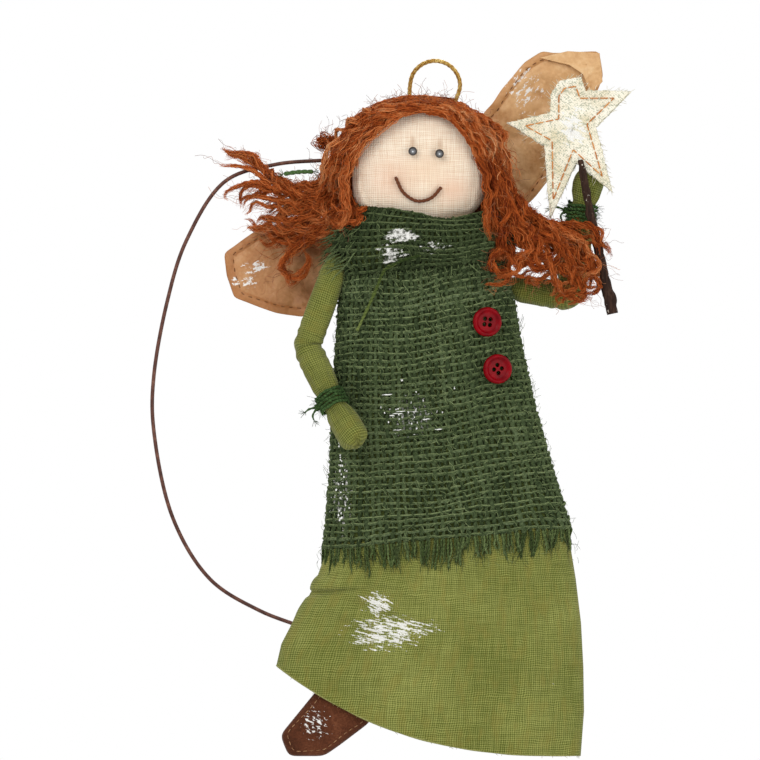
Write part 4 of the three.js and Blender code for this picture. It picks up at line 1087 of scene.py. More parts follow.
def button_look():
    look = Look("button_red", 0.25, specular=0.09)
    look.bump(look.noise(look.place(), 900.0), 0.02)
    return look.done(look.ramp(look.noise(look.place(), 330.0, 4.0), (0.3, (94, 0, 8)), (0.7, (142, 0, 14))))


def turned(name, profile, sides):
    """A closed mesh turned about Z, from radii and heights."""
    radius, height = np.maximum(profile[:, :1], 0.02), profile[:, 1:]
    turn = around(sides)
    rows = np.stack([radius * np.cos(turn), radius * np.sin(turn), height * np.ones(sides)], -1)
    verts = rows.reshape(-1, 3)
    ends = [list(range(sides))[::-1], list(range(len(verts) - sides, len(verts)))]
    mesh = bpy.data.meshes.new(name)
    mesh.from_pydata(verts.tolist(), [], round_faces(len(profile), sides)[0].tolist() + ends)
    shade_smooth(mesh)
    return mesh


def button_holes(name):
    """Four pegs to cut the holes with."""
    pegs = bmesh.new()
    for angle in around(4):
        made = bmesh.ops.create_cone(pegs, cap_ends=True, segments=24, radius1=HOLE_R, radius2=HOLE_R,
                                     depth=6)
        place = Vector((HOLE_AT * math.cos(angle), HOLE_AT * math.sin(angle), 0.8))
        bmesh.ops.translate(pegs, verts=made["verts"], vec=place)
    mesh = bpy.data.meshes.new(name + "_holes")
    pegs.to_mesh(mesh)
    pegs.free()
    return new_object(name + "_holes", mesh)


def button(name, node, x, z, turn, look):
    profile = smooth_line(arr(BUTTON_R, 0) + BUTTON_PROFILE * arr(-1, 1), 44)
    mesh = turned(name, profile, 72)
    mesh.materials.append(look)
    obj = new_object(name, mesh)
    cutter = button_holes(name)
    mod = obj.modifiers.new("holes", "BOOLEAN")
    mod.object = cutter
    mod.operation = "DIFFERENCE"
    mod.solver = "EXACT"
    apply_modifiers(obj)
    bpy.data.objects.remove(cutter)
    middle, wide, deep = section(z)
    y = float(body_front(x, z))
    outward = Vector(((x - middle) / wide ** 2, y / deep ** 2, 0)).normalized()
    place = Matrix.Translation(Vector((x, y, z)) + outward * 0.45)
    facing = outward.to_track_quat("Z", "X").to_matrix().to_4x4()
    obj.data.transform(Matrix.Scale(MM, 4) @ place @ facing @ Matrix.Rotation(math.radians(turn), 4, "Z"))
    give(obj, "body", "red_button", node)


button_red = button_look()
button("button_upper", "upper_button", 15.2, -78.0, 38, button_red)
button("button_lower", "lower_button", 18.3, -92.1, 8, button_red)


# Head, eyes and smile

EYES = {"left_eye": (-1.85, 4.4), "right_eye": (6.15, 3.7)}
EYE_R, EYE_SUNK = 1.35, 0.75
SMILE = arr([-6.95, -3.5], [-4.6, -8], [-0.5, -10.5], [3.6, -9.6], [6.75, -6.3])
JOWL = 3.4
# Painted shade in the dimple above each eye: its tone and its size
EYE_PAINTED_SHADE, EYE_PAINTED_SHADE_SIZE = (190, 146, 108), (1.5, 8, 3.0)
# Patches on the face: on the left cheek as seen from the front, pink cheek colour and painted shade of that
# half of the face; on the right cheek, pink cheek colour; in the middle, a warmer, darker tone; above the
# eyes, painted shade of their dimples
muslin = cloth_look("face_muslin", (216, 178, 142), (255, 244, 224), COTTON_PITCH, by_uv=False, slub=0.62,
                    contrast=0.11,
                    blush_and_shade=[((-12.8, -8, -35.5), (11, 14, 10), (222, 172, 142)),
                           ((5.0, -8, -38.5), (9, 12, 7), (232, 182, 150)),
                           ((-3, -9, -32), (11, 12, 9), (234, 200, 168)),
                           ((-6.7, -9, -24.2), EYE_PAINTED_SHADE_SIZE, EYE_PAINTED_SHADE),
                           ((1.3, -9, -24.9), EYE_PAINTED_SHADE_SIZE, EYE_PAINTED_SHADE)])


def face(side, up, out=0.0):
    depth = HEAD_HALF[1] * math.sqrt(1 - (side / HEAD_HALF[0]) ** 2 - (up / HEAD_HALF[2]) ** 2)
    return HEAD + arr(side, -depth - out, up)


def sphere(pole, rings, sides):
    """The angles of a ball's points from its pole and round it."""
    return np.meshgrid(np.linspace(pole, np.pi - pole, rings), around(sides), indexing="ij")


smile_line = smooth_line([face(s, u, 0.42) for s, u in SMILE], 60)
lat, lon = sphere(0.02, 72, 110)
flattened = np.sign(np.sin(lon)) * np.abs(np.sin(lat) * np.sin(lon)) ** 0.86
ball = np.stack([np.sin(lat) * np.cos(lon), flattened, np.cos(lat)], -1)
turn = np.arctan2(ball[..., 2], ball[..., 0])
squared = (np.abs(np.cos(turn)) ** JOWL + np.abs(np.sin(turn)) ** JOWL) ** (-1 / JOWL)
jowl = np.where(ball[..., 2] < 0, squared, 1.0)
points = HEAD + ball * np.stack([jowl, np.full_like(jowl, 0.965), jowl ** 0.4], -1) * HEAD_HALF
points = points + ball * (0.16 * Ripple(41, 16.0)(points) + 0.05 * Ripple(42, 5.0)(points))[..., None]
points = swollen_grid(points, np.abs(ball[..., 1]) < 0.12, 0.5, 2.0)
points = points - ball * (bell(ball[..., 1], 0, 0.10) * (0.35 + 0.12 * np.sin(lat * 46)))[..., None]
for side, up in EYES.values():
    near = np.linalg.norm((points - face(side, up)) * arr(1, 0.5, 1), axis=-1)
    points[..., 1] += np.where(points[..., 1] < HEAD[1], EYE_SUNK * bell(near, 0, 2.6), 0)
near = np.min(np.linalg.norm(points[:, :, None] - smile_line[None, None, ::3], axis=-1), axis=-1)
points[..., 1] += np.where(points[..., 1] < HEAD[1], 0.42 * bell(near, 0, 1.1), 0)
head = give(skin_of(points).build("head_pillow", muslin), "body", "muslin", "head")


def bead_look():
    """Dark glass, with a painted highlight: a light spot in the middle of its front, fading through grey to
    the dark rim.
    """
    look = Look("eye_bead", 0.1, specular=0.5)
    x, _, z = look.parts(look.add("TexCoord").outputs["Generated"])
    squares = [look.math("POWER", look.math("SUBTRACT", part, at), 2.0) for part, at in ((x, 0.5), (z, 0.45))]
    far = look.math("SQRT", look.math("ADD", *squares))
    look.bump(look.noise(look.place(), 1400.0), 0.01)
    return look.done(look.ramp(far, (0.05, (214, 218, 222)), (0.12, (112, 114, 116)), (0.32, (70, 70, 72)),
                               (0.48, (26, 22, 22))))


bead = bead_look()
for name, (side, up) in EYES.items():
    lat, lon = sphere(0.03, 24, 36)
    dent = 1 - 0.10 * bell(lat, 0, 0.35)
    ball = np.stack([np.sin(lat) * np.cos(lon), -np.cos(lat) * dent, np.sin(lat) * np.sin(lon)], -1)
    rows = face(side, up, EYE_R - EYE_SUNK) + EYE_R * ball
    give(skin_of(rows).build(name + "_bead", bead), "body", "bead", name)

smile_look = thread_look("smile_thread", (66, 34, 18), (104, 58, 34), (140, 88, 56), 0.7, 0.06)
pile = Pile()
dive = np.vstack([face(*SMILE[0], -1.2)[None], smile_line, face(*SMILE[-1], -1.2)[None]])
pile.plied(smooth_line(dive[::3], 90), 0.58, 10, 0.5, 0.12, 1.3)
give(pile.build("smile_thread", smile_look), "body", "brown_thread", "mouth_stitch")


# Sleeves with hands

SLEEVE_GIRTH = 26.5
HAND_BEND = {"left": arr(2.6, -1.0, -1.6), "right": arr(1.6, 0, -0.6)}
SLEEVE_SEED = {"left": 51, "right": 52}
sleeve_look = cloth_look("sleeve_cotton", (68, 76, 16), (166, 168, 88), COTTON_PITCH, depth=0.08,
                         contrast=0.19, slub=0.34, warm=(126, 116, 44))


def sleeve_line(arm, bend):
    """The middle of an arm, from inside the shoulder to the finger tips."""
    shoulder, elbow, upper, fore, wrist = (arm[k] for k in ("shoulder", "elbow", "upper", "fore", "wrist"))
    return smooth_line([shoulder - upper * 3.0, shoulder, shoulder + upper * (arm["length"] * 0.55),
                        elbow - upper * 4.2, elbow + (fore - upper) * 0.55, elbow + fore * 4.2,
                        elbow + fore * (wrist * 0.6), elbow + fore * wrist,
                        elbow + fore * (wrist + HAND * 0.55) + bend * 0.45,
                        elbow + fore * (wrist + HAND - 0.25) + bend], 240)


def sleeve(side, arm):
    upper, fore, length, wrist = arm["upper"], arm["fore"], arm["length"], arm["wrist"]
    tip = wrist + HAND
    line = sleeve_line(arm, HAND_BEND[side])
    step = distance_along(line)
    at = step - step[np.argmin(np.linalg.norm(line - arm["elbow"], axis=1))]
    sizes = ((-length - 3, 1.2), (-length - 1.5, 3.0), (-length + 2, 3.9), (-length * 0.5, 4.2), (-3, 4.15),
             (0, 4.2), (4, 4.2), (wrist * 0.5, 4.25), (wrist - 5.2, 4.0), (wrist - 3.2, WRIST_R),
             (wrist + 3.0, WRIST_R), (wrist + 5.4, 4.3), (tip - 6.5, 4.6), (tip - 2.2, 4.6))
    radius = np.interp(at, *zip(*sizes))
    to_tip = (at[-1] - at)[:, None]
    radius = radius[:, None] * np.sqrt(np.maximum(0.0, 1 - np.clip(1 - to_tip / 4.2, 0, 1) ** 2.1))
    sides = 44
    turn = around(sides)[None]
    along, across, up = line_frame(line)
    at = at[:, None]
    # Pleats beside the wrist tie and at the sewn finger end
    pleat = (0.20 * bell(at, wrist - 5.6, 2.4) * np.cos(11 * turn + 1)
             + 0.22 * bell(at, wrist + 4.6, 2.2) * np.cos(10 * turn)
             + 0.30 * bell(to_tip, 1.2, 1.2) * np.cos(6 * turn + 2))
    gather = sum(bell(np.arctan2(np.sin(turn - k), np.cos(turn - k)), 0, 0.26) for k in (0.5, 2.4, 4.7))
    gather = 1.1 * gather * bell(to_tip, 0.6, 0.9)
    # The crook of the elbow
    inner = np.cos(turn - np.arctan2(up @ (fore - upper), across @ (fore - upper))[:, None])
    crook = (0.22 * bell(at, 0, 6.0) * np.sin(at * 2.1 + turn)
             - 0.55 * bell(at, 0, 2.0) * np.maximum(inner, 0))
    rows = beside(line[:, None], across[:, None], up[:, None], turn, radius)
    size = radius + pleat + crook + 0.13 * Ripple(SLEEVE_SEED[side], 12.0)(rows)
    rows = beside(line[:, None], across[:, None], up[:, None], turn, size)
    rows = rows - along[:, None] * gather[..., None]
    tied = (np.abs(at - wrist) < 3.4) | (to_tip < 1.2) | (at < 2 - length) | (np.abs(at) < 1.0)
    rows[..., 1] = line[:, None, 1] + (rows[..., 1] - line[:, None, 1]) * np.where(tied, 1.0, 0.86)
    rows = swollen_grid(rows, tied, 0.7, 4.0)
    uv = np.stack(np.meshgrid(step, np.linspace(0, SLEEVE_GIRTH, sides + 1), indexing="ij"), -1)
    obj = skin_of(rows, uv=uv).build(side + "_sleeve", sleeve_look)
    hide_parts(side + "_upper_arm", side + "_forearm")
    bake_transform(obj)


for side, arm in ARMS.items():
    sleeve(side, arm)


# Cuffs: yarn wound on the wrists, with a knot and two tails

CUFF_TURNS, CUFF_PITCH, CUFF_R = 5, 1.12, WRIST_R + 0.25 + 0.5
CUFF_POINTS = 260
cuff_look = yarn_look("cuff_yarn", (34, 54, 24), (62, 90, 46), (100, 128, 80), ply=1.0, depth=0.14)


def cuff(side, arm):
    axis = arm["fore"]
    centre = arm["elbow"] + axis * arm["wrist"]
    x = unit(np.cross(axis, arr(0, 1, 0)))
    x = x if x[0] < 0 else -x
    y = np.cross(axis, x)
    t = np.linspace(0, CUFF_TURNS, CUFF_POINTS)
    wobble = Ripple(61, 5.0, 1)
    rise = (t - CUFF_TURNS / 2) * CUFF_PITCH + 0.12 * wobble(t[:, None] * 20)
    line = beside(centre + np.outer(rise, axis), x, y, FULL * t, np.full_like(t, CUFF_R))
    pile = Pile()
    pile.plied(line, 0.52 * (1 + 0.08 * wobble(t[:, None] * 33)), 12, 0.5, 0.14, 2.0)
    knot = centre + x * (CUFF_R + 0.5)
    spin = np.linspace(0, FULL, 24)
    for tilt in (0.0, 1.05, 2.10):
        wide = x * math.cos(tilt) * 0.7 + axis * math.sin(tilt) * 0.9
        ring = knot + np.outer(np.cos(spin), wide) + np.outer(np.sin(spin), unit(np.cross(x, axis)) * 0.8)
        pile.plied(ring, 0.42, 8, 0.5, 0.12, 1.6, False)
    for mid, end in ((x * 2.8 + arr(0, -0.4, 0.6), x * 4.2 + arr(0, -0.6, 0.2)),
                     (x * 1.6 + arr(0, -0.8, -1.8), x * 1.2 + arr(0, -0.9, -3.4))):
        tail = smooth_line([knot, knot + mid, knot + end], 24)
        pile.plied(tail, np.linspace(0.45, 0.30, 24), 8, 0.6, 0.15, 1.8)
        for _ in range(9):
            way = unit(tail[-1] - tail[-3]) * 1.2 + rng.normal(0, 0.8, 3)
            pile.fibre(tail[-1], way, 0.07, rng.uniform(0.3, 1), 6)
    # Loose fibres all over the windings
    r = np.random.default_rng(62)
    count = 260
    start = line[r.integers(0, CUFF_POINTS, count)]
    normal = unit(start - (centre + np.outer((start - centre) @ axis, axis)))[:, None]
    way = normal * 0.8 + r.normal(0, 0.8, (count, 1, 3))
    loose = start[:, None] + normal * 0.45 + way * steps(6) * r.uniform(0.6, 1.7, (count, 1, 1))
    pile.hairs(loose, 0.045, r.uniform(0.2, 1, (count, 1)))
    give(pile.build(side + "_cuff_yarn", cuff_look), side + "_arm_lower", "green_yarn", side + "_cuff")


for side, arm in ARMS.items():
    cuff(side, arm)


# Sewn cloth: outlines in the front view, x and z, and the stitches along them

def outline(corners, count):
    """Evenly spaced points round a closed outline that keep every corner."""
    nxt = np.roll(corners, -1, 0)
    size = np.linalg.norm(nxt - corners, axis=1)
    parts = np.maximum(2, np.round(size / size.sum() * count).astype(int))
    return np.vstack([a + (b - a) * np.linspace(0, 1, n, endpoint=False)[:, None]
                      for a, b, n in zip(corners, nxt, parts)])


def signed_area(edge):
    x, z = edge.T
    return np.sum(x * np.roll(z, -1) - np.roll(x, -1) * z) / 2


def inset(corners, distance):
    """The outline moved inwards by a distance, with its corners moved farther, up to a limit."""
    before = unit(corners - np.roll(corners, 1, 0))
    after = unit(np.roll(corners, -1, 0) - corners)
    normal = unit(before + after) @ arr([0, -1], [1, 0])
    lift = 1 / np.maximum(0.45, np.sqrt(np.maximum(0, (1 + np.sum(before * after, 1)) / 2)))
    return corners + normal * (distance * lift)[:, None] * (1 if signed_area(corners) < 0 else -1)


def drawn_in(line, middle, distance):
    """The points moved towards the middle, and the share of the way out where each ends."""
    share = 1 - distance / np.maximum(np.linalg.norm(line - middle, axis=1), 1)
    return middle + (line - middle) * share[:, None], share


def set_back(flat, y):
    """Points of the front view with their depth."""
    return np.stack([flat[..., 0], np.broadcast_to(y, flat.shape[:-1]), flat[..., 1]], -1)


def patch(edge, middle, rings, depth):
    """A sheet from its middle out to its edge; depth(points, share) gives the Y of each point."""
    share = np.linspace(0, 1, rings) ** 0.8
    flat = middle + (edge[None] - middle) * share[:, None, None]
    flat[0] = middle + (edge - middle) * 0.004
    return set_back(flat, depth(flat, share[:, None] * np.ones(len(edge))))


def stitches(line, length, gap, radius, out):
    """Short threads along a line of points."""
    fine_step = 0.15
    pile = Pile()
    fine = resample(line, max(8, int(spacing(line).sum() / fine_step)))
    size = int(round(length / fine_step))
    for k in range(0, len(fine) - size, int(round((length + gap) / fine_step))):
        run = fine[k:k + size + 1]
        hump = np.sin(np.linspace(0, np.pi, len(run)))[:, None]
        path = resample(run + out * (hump - 0.45) * radius * 1.6, 7)
        pile.tube(path, radius, 6, rng.uniform(0.2, 0.9), CARRIED)
    return pile


# Wand: twig and star

# The twig lies in front of the right cuff
WRIST_Y, CUFF_THICK, TWIG_BUTT_R, FIT_GAP = 3.0, 1.1, 1.75, 0.3
TWIG_Y = WRIST_Y - WRIST_R - FIT_GAP - CUFF_THICK - FIT_GAP - TWIG_BUTT_R
TWIG_THIN, TWIG_GROWS = 0.95, 0.8
TWIG_POINTS, TWIG_SIDES = 90, 20
TWIG = [(43.5, TWIG_Y, -29.4), (45.1, TWIG_Y, -38), (48.6, TWIG_Y, -55), (53.1, TWIG_Y, -75.6)]
STAR = arr([21.6, -18.3], [34.6, -15.2], [34.6, -9.6], [37.4, -5.6], [43.8, -4.6], [45.2, -8.5],
           [58.8, -8.8], [48.3, -19.5], [53.1, -39], [42.3, -30.3], [34.4, -47], [32.7, -25.2])
STAR_MID = arr(41.0, -20.5)
STAR_FRONT = TWIG_Y + TWIG_THIN + FIT_GAP
STAR_HALF = 0.3


def bark_look():
    look = Look("bark", 0.9, specular=0.2)
    grain = look.noise(look.stretch(look.place(), (1, 1, 0.16)), 1500.0, 5.0, 0.65)
    base = look.ramp(grain, (0.28, (26, 16, 12)), (0.5, (52, 34, 26)), (0.75, (84, 62, 48)))
    # White flecks on the bark, partly dry paint and partly painted highlight
    base = look.mix(look.step(look.noise(look.place(), 900.0), 0.66, 0.72), 1.0, base, (214, 206, 190))
    look.bump(grain, 0.35)
    return look.done(base)


def twig_rows():
    """A knobbly stick that thickens downwards, closed at both ends."""
    line = smooth_line(TWIG, TWIG_POINTS)
    share = steps(TWIG_POINTS)
    _, across, up = line_frame(line)
    turn = around(TWIG_SIDES)[None, :, None]
    ring = across[:, None] * np.cos(turn) + up[:, None] * np.sin(turn)
    line = line[:, None]
    radius = TWIG_THIN + TWIG_GROWS * share
    base = line + ring * radius[..., None]
    knobs = (0.8 * bell(share, 0.9, 0.045) * np.maximum(0, ring[..., 0])
             + 0.4 * bell(share, 0.35, 0.03) * np.maximum(0, -ring[..., 0]))
    size = radius + 0.10 * Ripple(71, 3.0)(base) + 0.14 * Ripple(72, 8.0)(base) + knobs
    size[0] *= 0.75
    rows = line + ring * size[..., None]
    return np.concatenate([line[:1] + ring[:1] * 0.05, rows, line[-1:] + ring[-1:] * 0.05], 0)


def star_look():
    """Cream cloth with an open weave and glitter, and white strokes at its middle that are painted highlight.
    """
    look = Look("star_cloth", 0.8, sheen=0.1)
    place = look.place()
    x, _, z = look.parts(place)
    mesh = look.math("MULTIPLY", *(look.wave(part, 0.85 * MM) for part in (x, z)))
    tone = look.math("MULTIPLY_ADD", mesh, 0.10, look.noise(place, 160.0, 4.0))
    base = look.ramp(tone, (0.25, (220, 208, 172)), (0.65, (255, 250, 232)))
    glint = look.add("TexVoronoi", {"Vector": place, "Scale": 3000.0}).outputs
    sparkle = look.step(look.add("SeparateColor", {0: glint["Color"]}).outputs[0], 0.70, 0.78)
    base = look.mix(sparkle, 0.6, base, (142, 152, 128))
    look.bump(mesh, 0.06)
    look.bump(glint["Distance"], 0.08)
    return look.done(look.paint_and_highlight(base, [((41.5, -2.6, -20), (9, 8, 11), 300.0, 0.36, -0.4, 1.0)]))


give(skin_of(twig_rows()).build("twig", bark_look()), "right_arm_lower", "bark", "wand_twig")

star_cloth = star_look()
star_ripple, ragged = Ripple(81, 16.0, 2), Ripple(82, 2.4, 2)
star_edge = outline(STAR, 330)
star_edge = star_edge + unit(star_edge - STAR_MID) * (0.22 * ragged(star_edge))[:, None]
for name, node, y0, shift in (("star_cloth_front", "star_front", STAR_FRONT + STAR_HALF, 0.0),
                              ("star_cloth_back", "star_back", STAR_FRONT + 3 * STAR_HALF + FIT_GAP, 0.25)):
    rows = patch(star_edge + shift * arr(0.6, -1), STAR_MID, 16, lambda p, s: y0 + 0.13 * star_ripple(p) * s)
    obj = thicken(skin_of(rows).build(name, star_cloth), 0.4)
    give(obj, "right_arm_lower", "star_cloth", node)
orange = thread_look("star_thread", (176, 98, 36), (214, 138, 66), (232, 170, 104), 0.6, 0.04)
seam = outline(inset(STAR, 2.5), 200)
seam = set_back(np.vstack([seam, seam[:1]]), STAR_FRONT - 0.02)
pile = stitches(seam, 2.7, 0.3, 0.19, arr(0, -1, 0))
give(pile.build("star_stitches", orange), "right_arm_lower", "brown_thread")
ravel = thread_look("star_ravel", (190, 180, 146), (228, 220, 192), (250, 246, 230), 0.5, 0.02)
pile = Pile()
for x, z in star_edge[rng.integers(0, len(star_edge), 220)]:
    out_x, out_z = unit(arr(x, z) - STAR_MID)
    start = arr(x, STAR_FRONT + rng.uniform(0.1, 1.3), z)
    way = (arr(out_x, rng.normal(0, 0.3), out_z) + rng.normal(0, 0.5, 3)) * rng.uniform(0.4, 1.5)
    pile.fibre(start, way, 0.06, rng.uniform(0, 1), 5, (0.2, 1, 0.1))
give(pile.build("star_raveled_edge", ravel), "right_arm_lower", "star_cloth")


# Wings

LEFT_WING = arr([-9.6, -63.8], [-33, -72.6], [-39.6, -76.4], [-48, -75.2], [-60.4, -70.5], [-61.8, -66.0],
                [-62.6, -64.0], [-63.4, -57.2], [-54.4, -50.8], [-40.5, -46.4], [-11.4, -52])
RIGHT_WING = arr([5.6, -46.9], [11.6, -24], [14.8, -14.8], [17.4, -12.2], [20.2, -7.8], [27, 0.2],
                 [32.4, 3.6], [35.4, 3.0], [49.4, 3.6], [50.7, -4], [46.5, -14.4], [39.8, -28],
                 [30, -40.6], [15.4, -53.9])
FLAP = arr([31.5, 1.6], [40, 3.6], [49.6, 3.0], [50.5, -5.6], [46.8, -9.4], [44.6, -3.4], [40.5, -0.6])
FLAP_MID = arr(45.6, -0.6)
WING_MID, WING_THICK = 0.75, 0.55
WING_HEM, HEM_SEAM = 2.7, 2.5
dark_thread = thread_look("dark_thread", (84, 48, 22), (120, 76, 40), (150, 104, 62), 0.5, 0.03)


def wing_look(name, tones, paint_and_highlight):
    """Crumpled wax cloth; the last tone is that of its hem."""
    look = Look(name, 0.5, specular=0.4)
    place = look.place()
    crumple = look.noise(place, 90.0, 5.0, 0.6)
    grain = look.noise(place, 900.0)
    veins = look.add("TexVoronoi", {"Vector": place, "Scale": 130.0}, feature="DISTANCE_TO_EDGE")
    shade = look.weighted((crumple, 0.75), (grain, 0.25))
    base = look.ramp(shade, (0.30, tones[0]), (0.52, tones[1]), (0.72, tones[2]))
    base = look.mix(look.step(look.tint(), 0.25, 0.75), 0.6, base, tones[3])
    look.bump(crumple, 0.9)
    look.bump(look.step(veins.outputs["Distance"], 0.0, 0.10), 0.10)
    look.bump(grain, 0.04)
    return look.done(look.paint_and_highlight(base, paint_and_highlight))


def edge_distance(p, edge):
    """How far points lie from a closed outline."""
    far = np.full(p.shape[:-1], np.inf)
    for a, b in zip(edge, np.roll(edge, -1, 0)):
        d = b - a
        t = np.clip(((p - a) @ d) / max(d @ d, TINY), 0, 1)
        far = np.minimum(far, np.linalg.norm(p - a - t[..., None] * d, axis=-1))
    return far


def wing(name, node, body_name, corners, front, tones, paint_and_highlight, seed):
    """A hemmed wing, its stitches on both faces and those that hold its root."""
    ring = resample(corners, 400)
    for _ in range(10):
        ring[1:-1] = (ring[:-2] + ring[1:-1] * 2 + ring[2:]) / 4
    ring = resample(ring, 150)
    root = resample(np.vstack([ring[-1], ring[0]]), 18)[1:-1]
    edge = np.vstack([ring, root])
    middle = edge.mean(0)
    crumple, fold = Ripple(seed, 17.0, 2), Ripple(seed + 1, 6.0, 2)

    def depth(p, _):
        far = edge_distance(p, edge)
        calm = np.clip(np.linalg.norm(p - (ring[0] + ring[-1]) / 2, axis=-1) / 14, 0, 1)
        roll = 0.35 * bell(far, 2.6, 0.5) - 0.30 * bell(far, 1.3, 0.9)
        return front + WING_MID + (0.55 * crumple(p) + 0.16 * fold(p)) * calm + roll

    rows = patch(edge, middle, 46, depth)
    hem = (edge_distance(rows[..., [0, 2]], edge) < WING_HEM).astype(float)
    obj = thicken(skin_of(rows, hem).build(name, wing_look(name + "_waxcloth", tones, paint_and_highlight)), WING_THICK)
    give(obj, body_name, "wing_cloth", node)
    seam, _ = drawn_in(ring, middle, HEM_SEAM)
    y = depth(seam, None)
    for facing, face_name in ((-1, "_stitch_front"), (1, "_stitch_back")):
        pile = stitches(set_back(seam, y + facing * 0.33), 1.3, 1.3, 0.14, arr(0, facing, 0))
        give(pile.build(name + face_name, dark_thread), body_name, "brown_thread")
    pile = stitches(set_back(root * 0.94 + middle * 0.06, front + 1.25), 1.8, 0.9, 0.24, arr(0, 1, 0))
    give(pile.build(name + "_root_stitch", dark_thread), body_name, "brown_thread")


left_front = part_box("left_wing")[0][1] / MM
right_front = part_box("right_wing")[0][1] / MM
# The white strokes on the wings are painted highlight of the wax cloth's gloss
wing("wing_cloth_left", "left_wing", "wing_left", LEFT_WING, left_front,
     ((148, 92, 46), (186, 132, 84), (208, 164, 116), (166, 106, 56)),
     [((-55, 12, -61), (9, 12, 5), 230.0, 0.33, 0.2, 1.0),
      ((-57, 12, -66), (8, 12, 4), 230.0, 0.33, 0.3, 1.0)], 91)
wing("wing_cloth_right", "right_wing", "wing_right", RIGHT_WING, right_front,
     ((178, 124, 70), (212, 166, 114), (234, 198, 150), (188, 132, 78)),
     [((27, 12, -8), (11, 12, 15), 330.0, 0.27, 0.9, 1.0)], 95)

# The right wing's tip, folded to the front
flap_look = wing_look("wing_flap_waxcloth",
                      ((186, 134, 80), (218, 174, 122), (238, 206, 160), (196, 142, 86)), [])
flap_ripple = Ripple(99, 9.0, 2)
rows = patch(outline(FLAP, 120), FLAP_MID, 14,
             lambda p, s: right_front - 0.55 - 0.35 * s + 0.18 * flap_ripple(p))
flap = thicken(skin_of(rows, 0.0).build("wing_flap_right", flap_look), 0.4)
give(flap, "wing_right", "wing_cloth")


# Shoe

SHOE = arr([-35.1, -188.4], [-46.2, -202], [-43.8, -208], [-33.4, -208], [-28.8, -204.8], [-19.8, -198],
           [-16.6, -190.5], [-26, -182.6])


def felt_look():
    look = Look("shoe_felt", 0.88, sheen=0.05, specular=0.12)
    nap = look.noise(look.place(), 1500.0, 4.0, 0.65)
    cloud = look.noise(look.place(), 110.0)
    base = look.ramp(look.weighted((nap, 0.5), (cloud, 0.5)),
                     (0.3, (58, 30, 16)), (0.55, (92, 50, 30)), (0.75, (124, 76, 50)))
    look.bump(nap, 0.15)
    look.bump(cloud, 0.3)
    # White strokes on the felt, partly dry paint and partly painted highlight
    return look.done(look.paint_and_highlight(base, [((-36, -3, -198), (9, 9, 9), 520.0, 0.26, -0.4, 1.0)]))


def shoe_swell(s):
    """How far a panel stands out, from the middle, 0, to the edge, 1."""
    return 0.2 + 3.15 * np.sqrt(np.maximum(0, 1 - s ** 3))


felt = felt_look()
shoe_edge = outline(SHOE, 240)
for _ in range(24):
    shoe_edge = (np.roll(shoe_edge, 1, 0) + 2 * shoe_edge + np.roll(shoe_edge, -1, 0)) / 4
shoe_edge = resample(np.vstack([shoe_edge, shoe_edge[:1]]), 121)[:-1]
shoe_mid = shoe_edge.mean(0)
dimple = Ripple(101, 9.0, 2)
SHOE_FACES = ((-1, "front"), (1, "back"))
for facing, end in SHOE_FACES:
    rows = patch(shoe_edge, shoe_mid, 26,
                 lambda p, s: facing * (shoe_swell(s) + 0.12 * dimple(p) * (1 - s ** 4)))
    obj = thicken(skin_of(rows).build("shoe_panel_" + end, felt), 0.5)
    give(obj, "leg", "shoe_felt", "shoe_" + end)
tan = thread_look("shoe_thread", (100, 64, 40), (142, 98, 64), (180, 138, 98), 0.5, 0.03)
seam, share = drawn_in(shoe_edge[np.r_[100:120, 0:80]], shoe_mid, 1.7)
for facing, end in SHOE_FACES:
    pile = stitches(set_back(seam, facing * (shoe_swell(share) + 0.36)), 1.2, 0.8, 0.15, arr(0, facing, 0))
    give(pile.build("shoe_stitch_" + end, tan), "leg", "brown_thread")


# Wire bow

BOW_POINTS = 220
BOW = [(-34.5, 7.5, -29.4), (-48, 7.5, -30.6), (-63, 7.5, -35.6), (-74.7, 7.5, -53.4), (-80.4, 7.5, -71.4),
       (-84.6, 7.5, -95), (-84.6, 7.5, -110), (-78.6, 7.5, -137.4), (-67.5, 7.5, -155.4), (-53, 7.5, -164.6),
       (-40.5, 4.6, -169.4)]
bow_look = grain_look("bow_wire", 500.0, 0.05, (0.3, (62, 34, 26)), (0.55, (92, 56, 44)),
                      (0.8, (132, 92, 74)), detail=4.0, roughness=0.5, metallic=0.35, specular=0.4)
bow_line = smooth_line([joint_at["wire_swing"] + arr(-0.2, 0, 0), *BOW], BOW_POINTS)
kink = Ripple(111, 60.0, 1)
bow_line[:, 1] += 0.25 * kink(240 * steps(BOW_POINTS)) * np.sin(np.linspace(0, np.pi, BOW_POINTS))
pile = Pile()
pile.tube(bow_line, 0.58, 12, 0.5, CARRIED)
give(pile.build("bow_wire", bow_look), "wire", "bow_wire", "wire_bow")


# Torso and leg: stuffed pieces under the clothes

SEWN_END = 3
under_look = cloth_look("body_muslin", (176, 156, 126), (226, 208, 178), 0.9, by_uv=False)
for node, body_name in (("torso", "body"), ("leg", "leg")):
    obj, points, normals = softened_copy(node + "_pad", node, under_look, 1.5, 4)
    points = points - normals * (0.32 - 0.10 * Ripple(121, 12.0)(points))[:, None]
    z = points[:, 2]
    sewn = (z > z.max() - SEWN_END) | (z < z.min() + SEWN_END)
    move_points(obj, swollen(points, [list(quad.vertices) for quad in obj.data.polygons], sewn, 0.25, 2.0))
    give(obj, body_name, "muslin", node)


# Hair

CROWN = arr(-4.85, -1.0, -27.1)
CROWN_HALF = arr(25.0, 11.6, 17.5)
seeds = itertools.count(200)
r = np.random.default_rng(131)


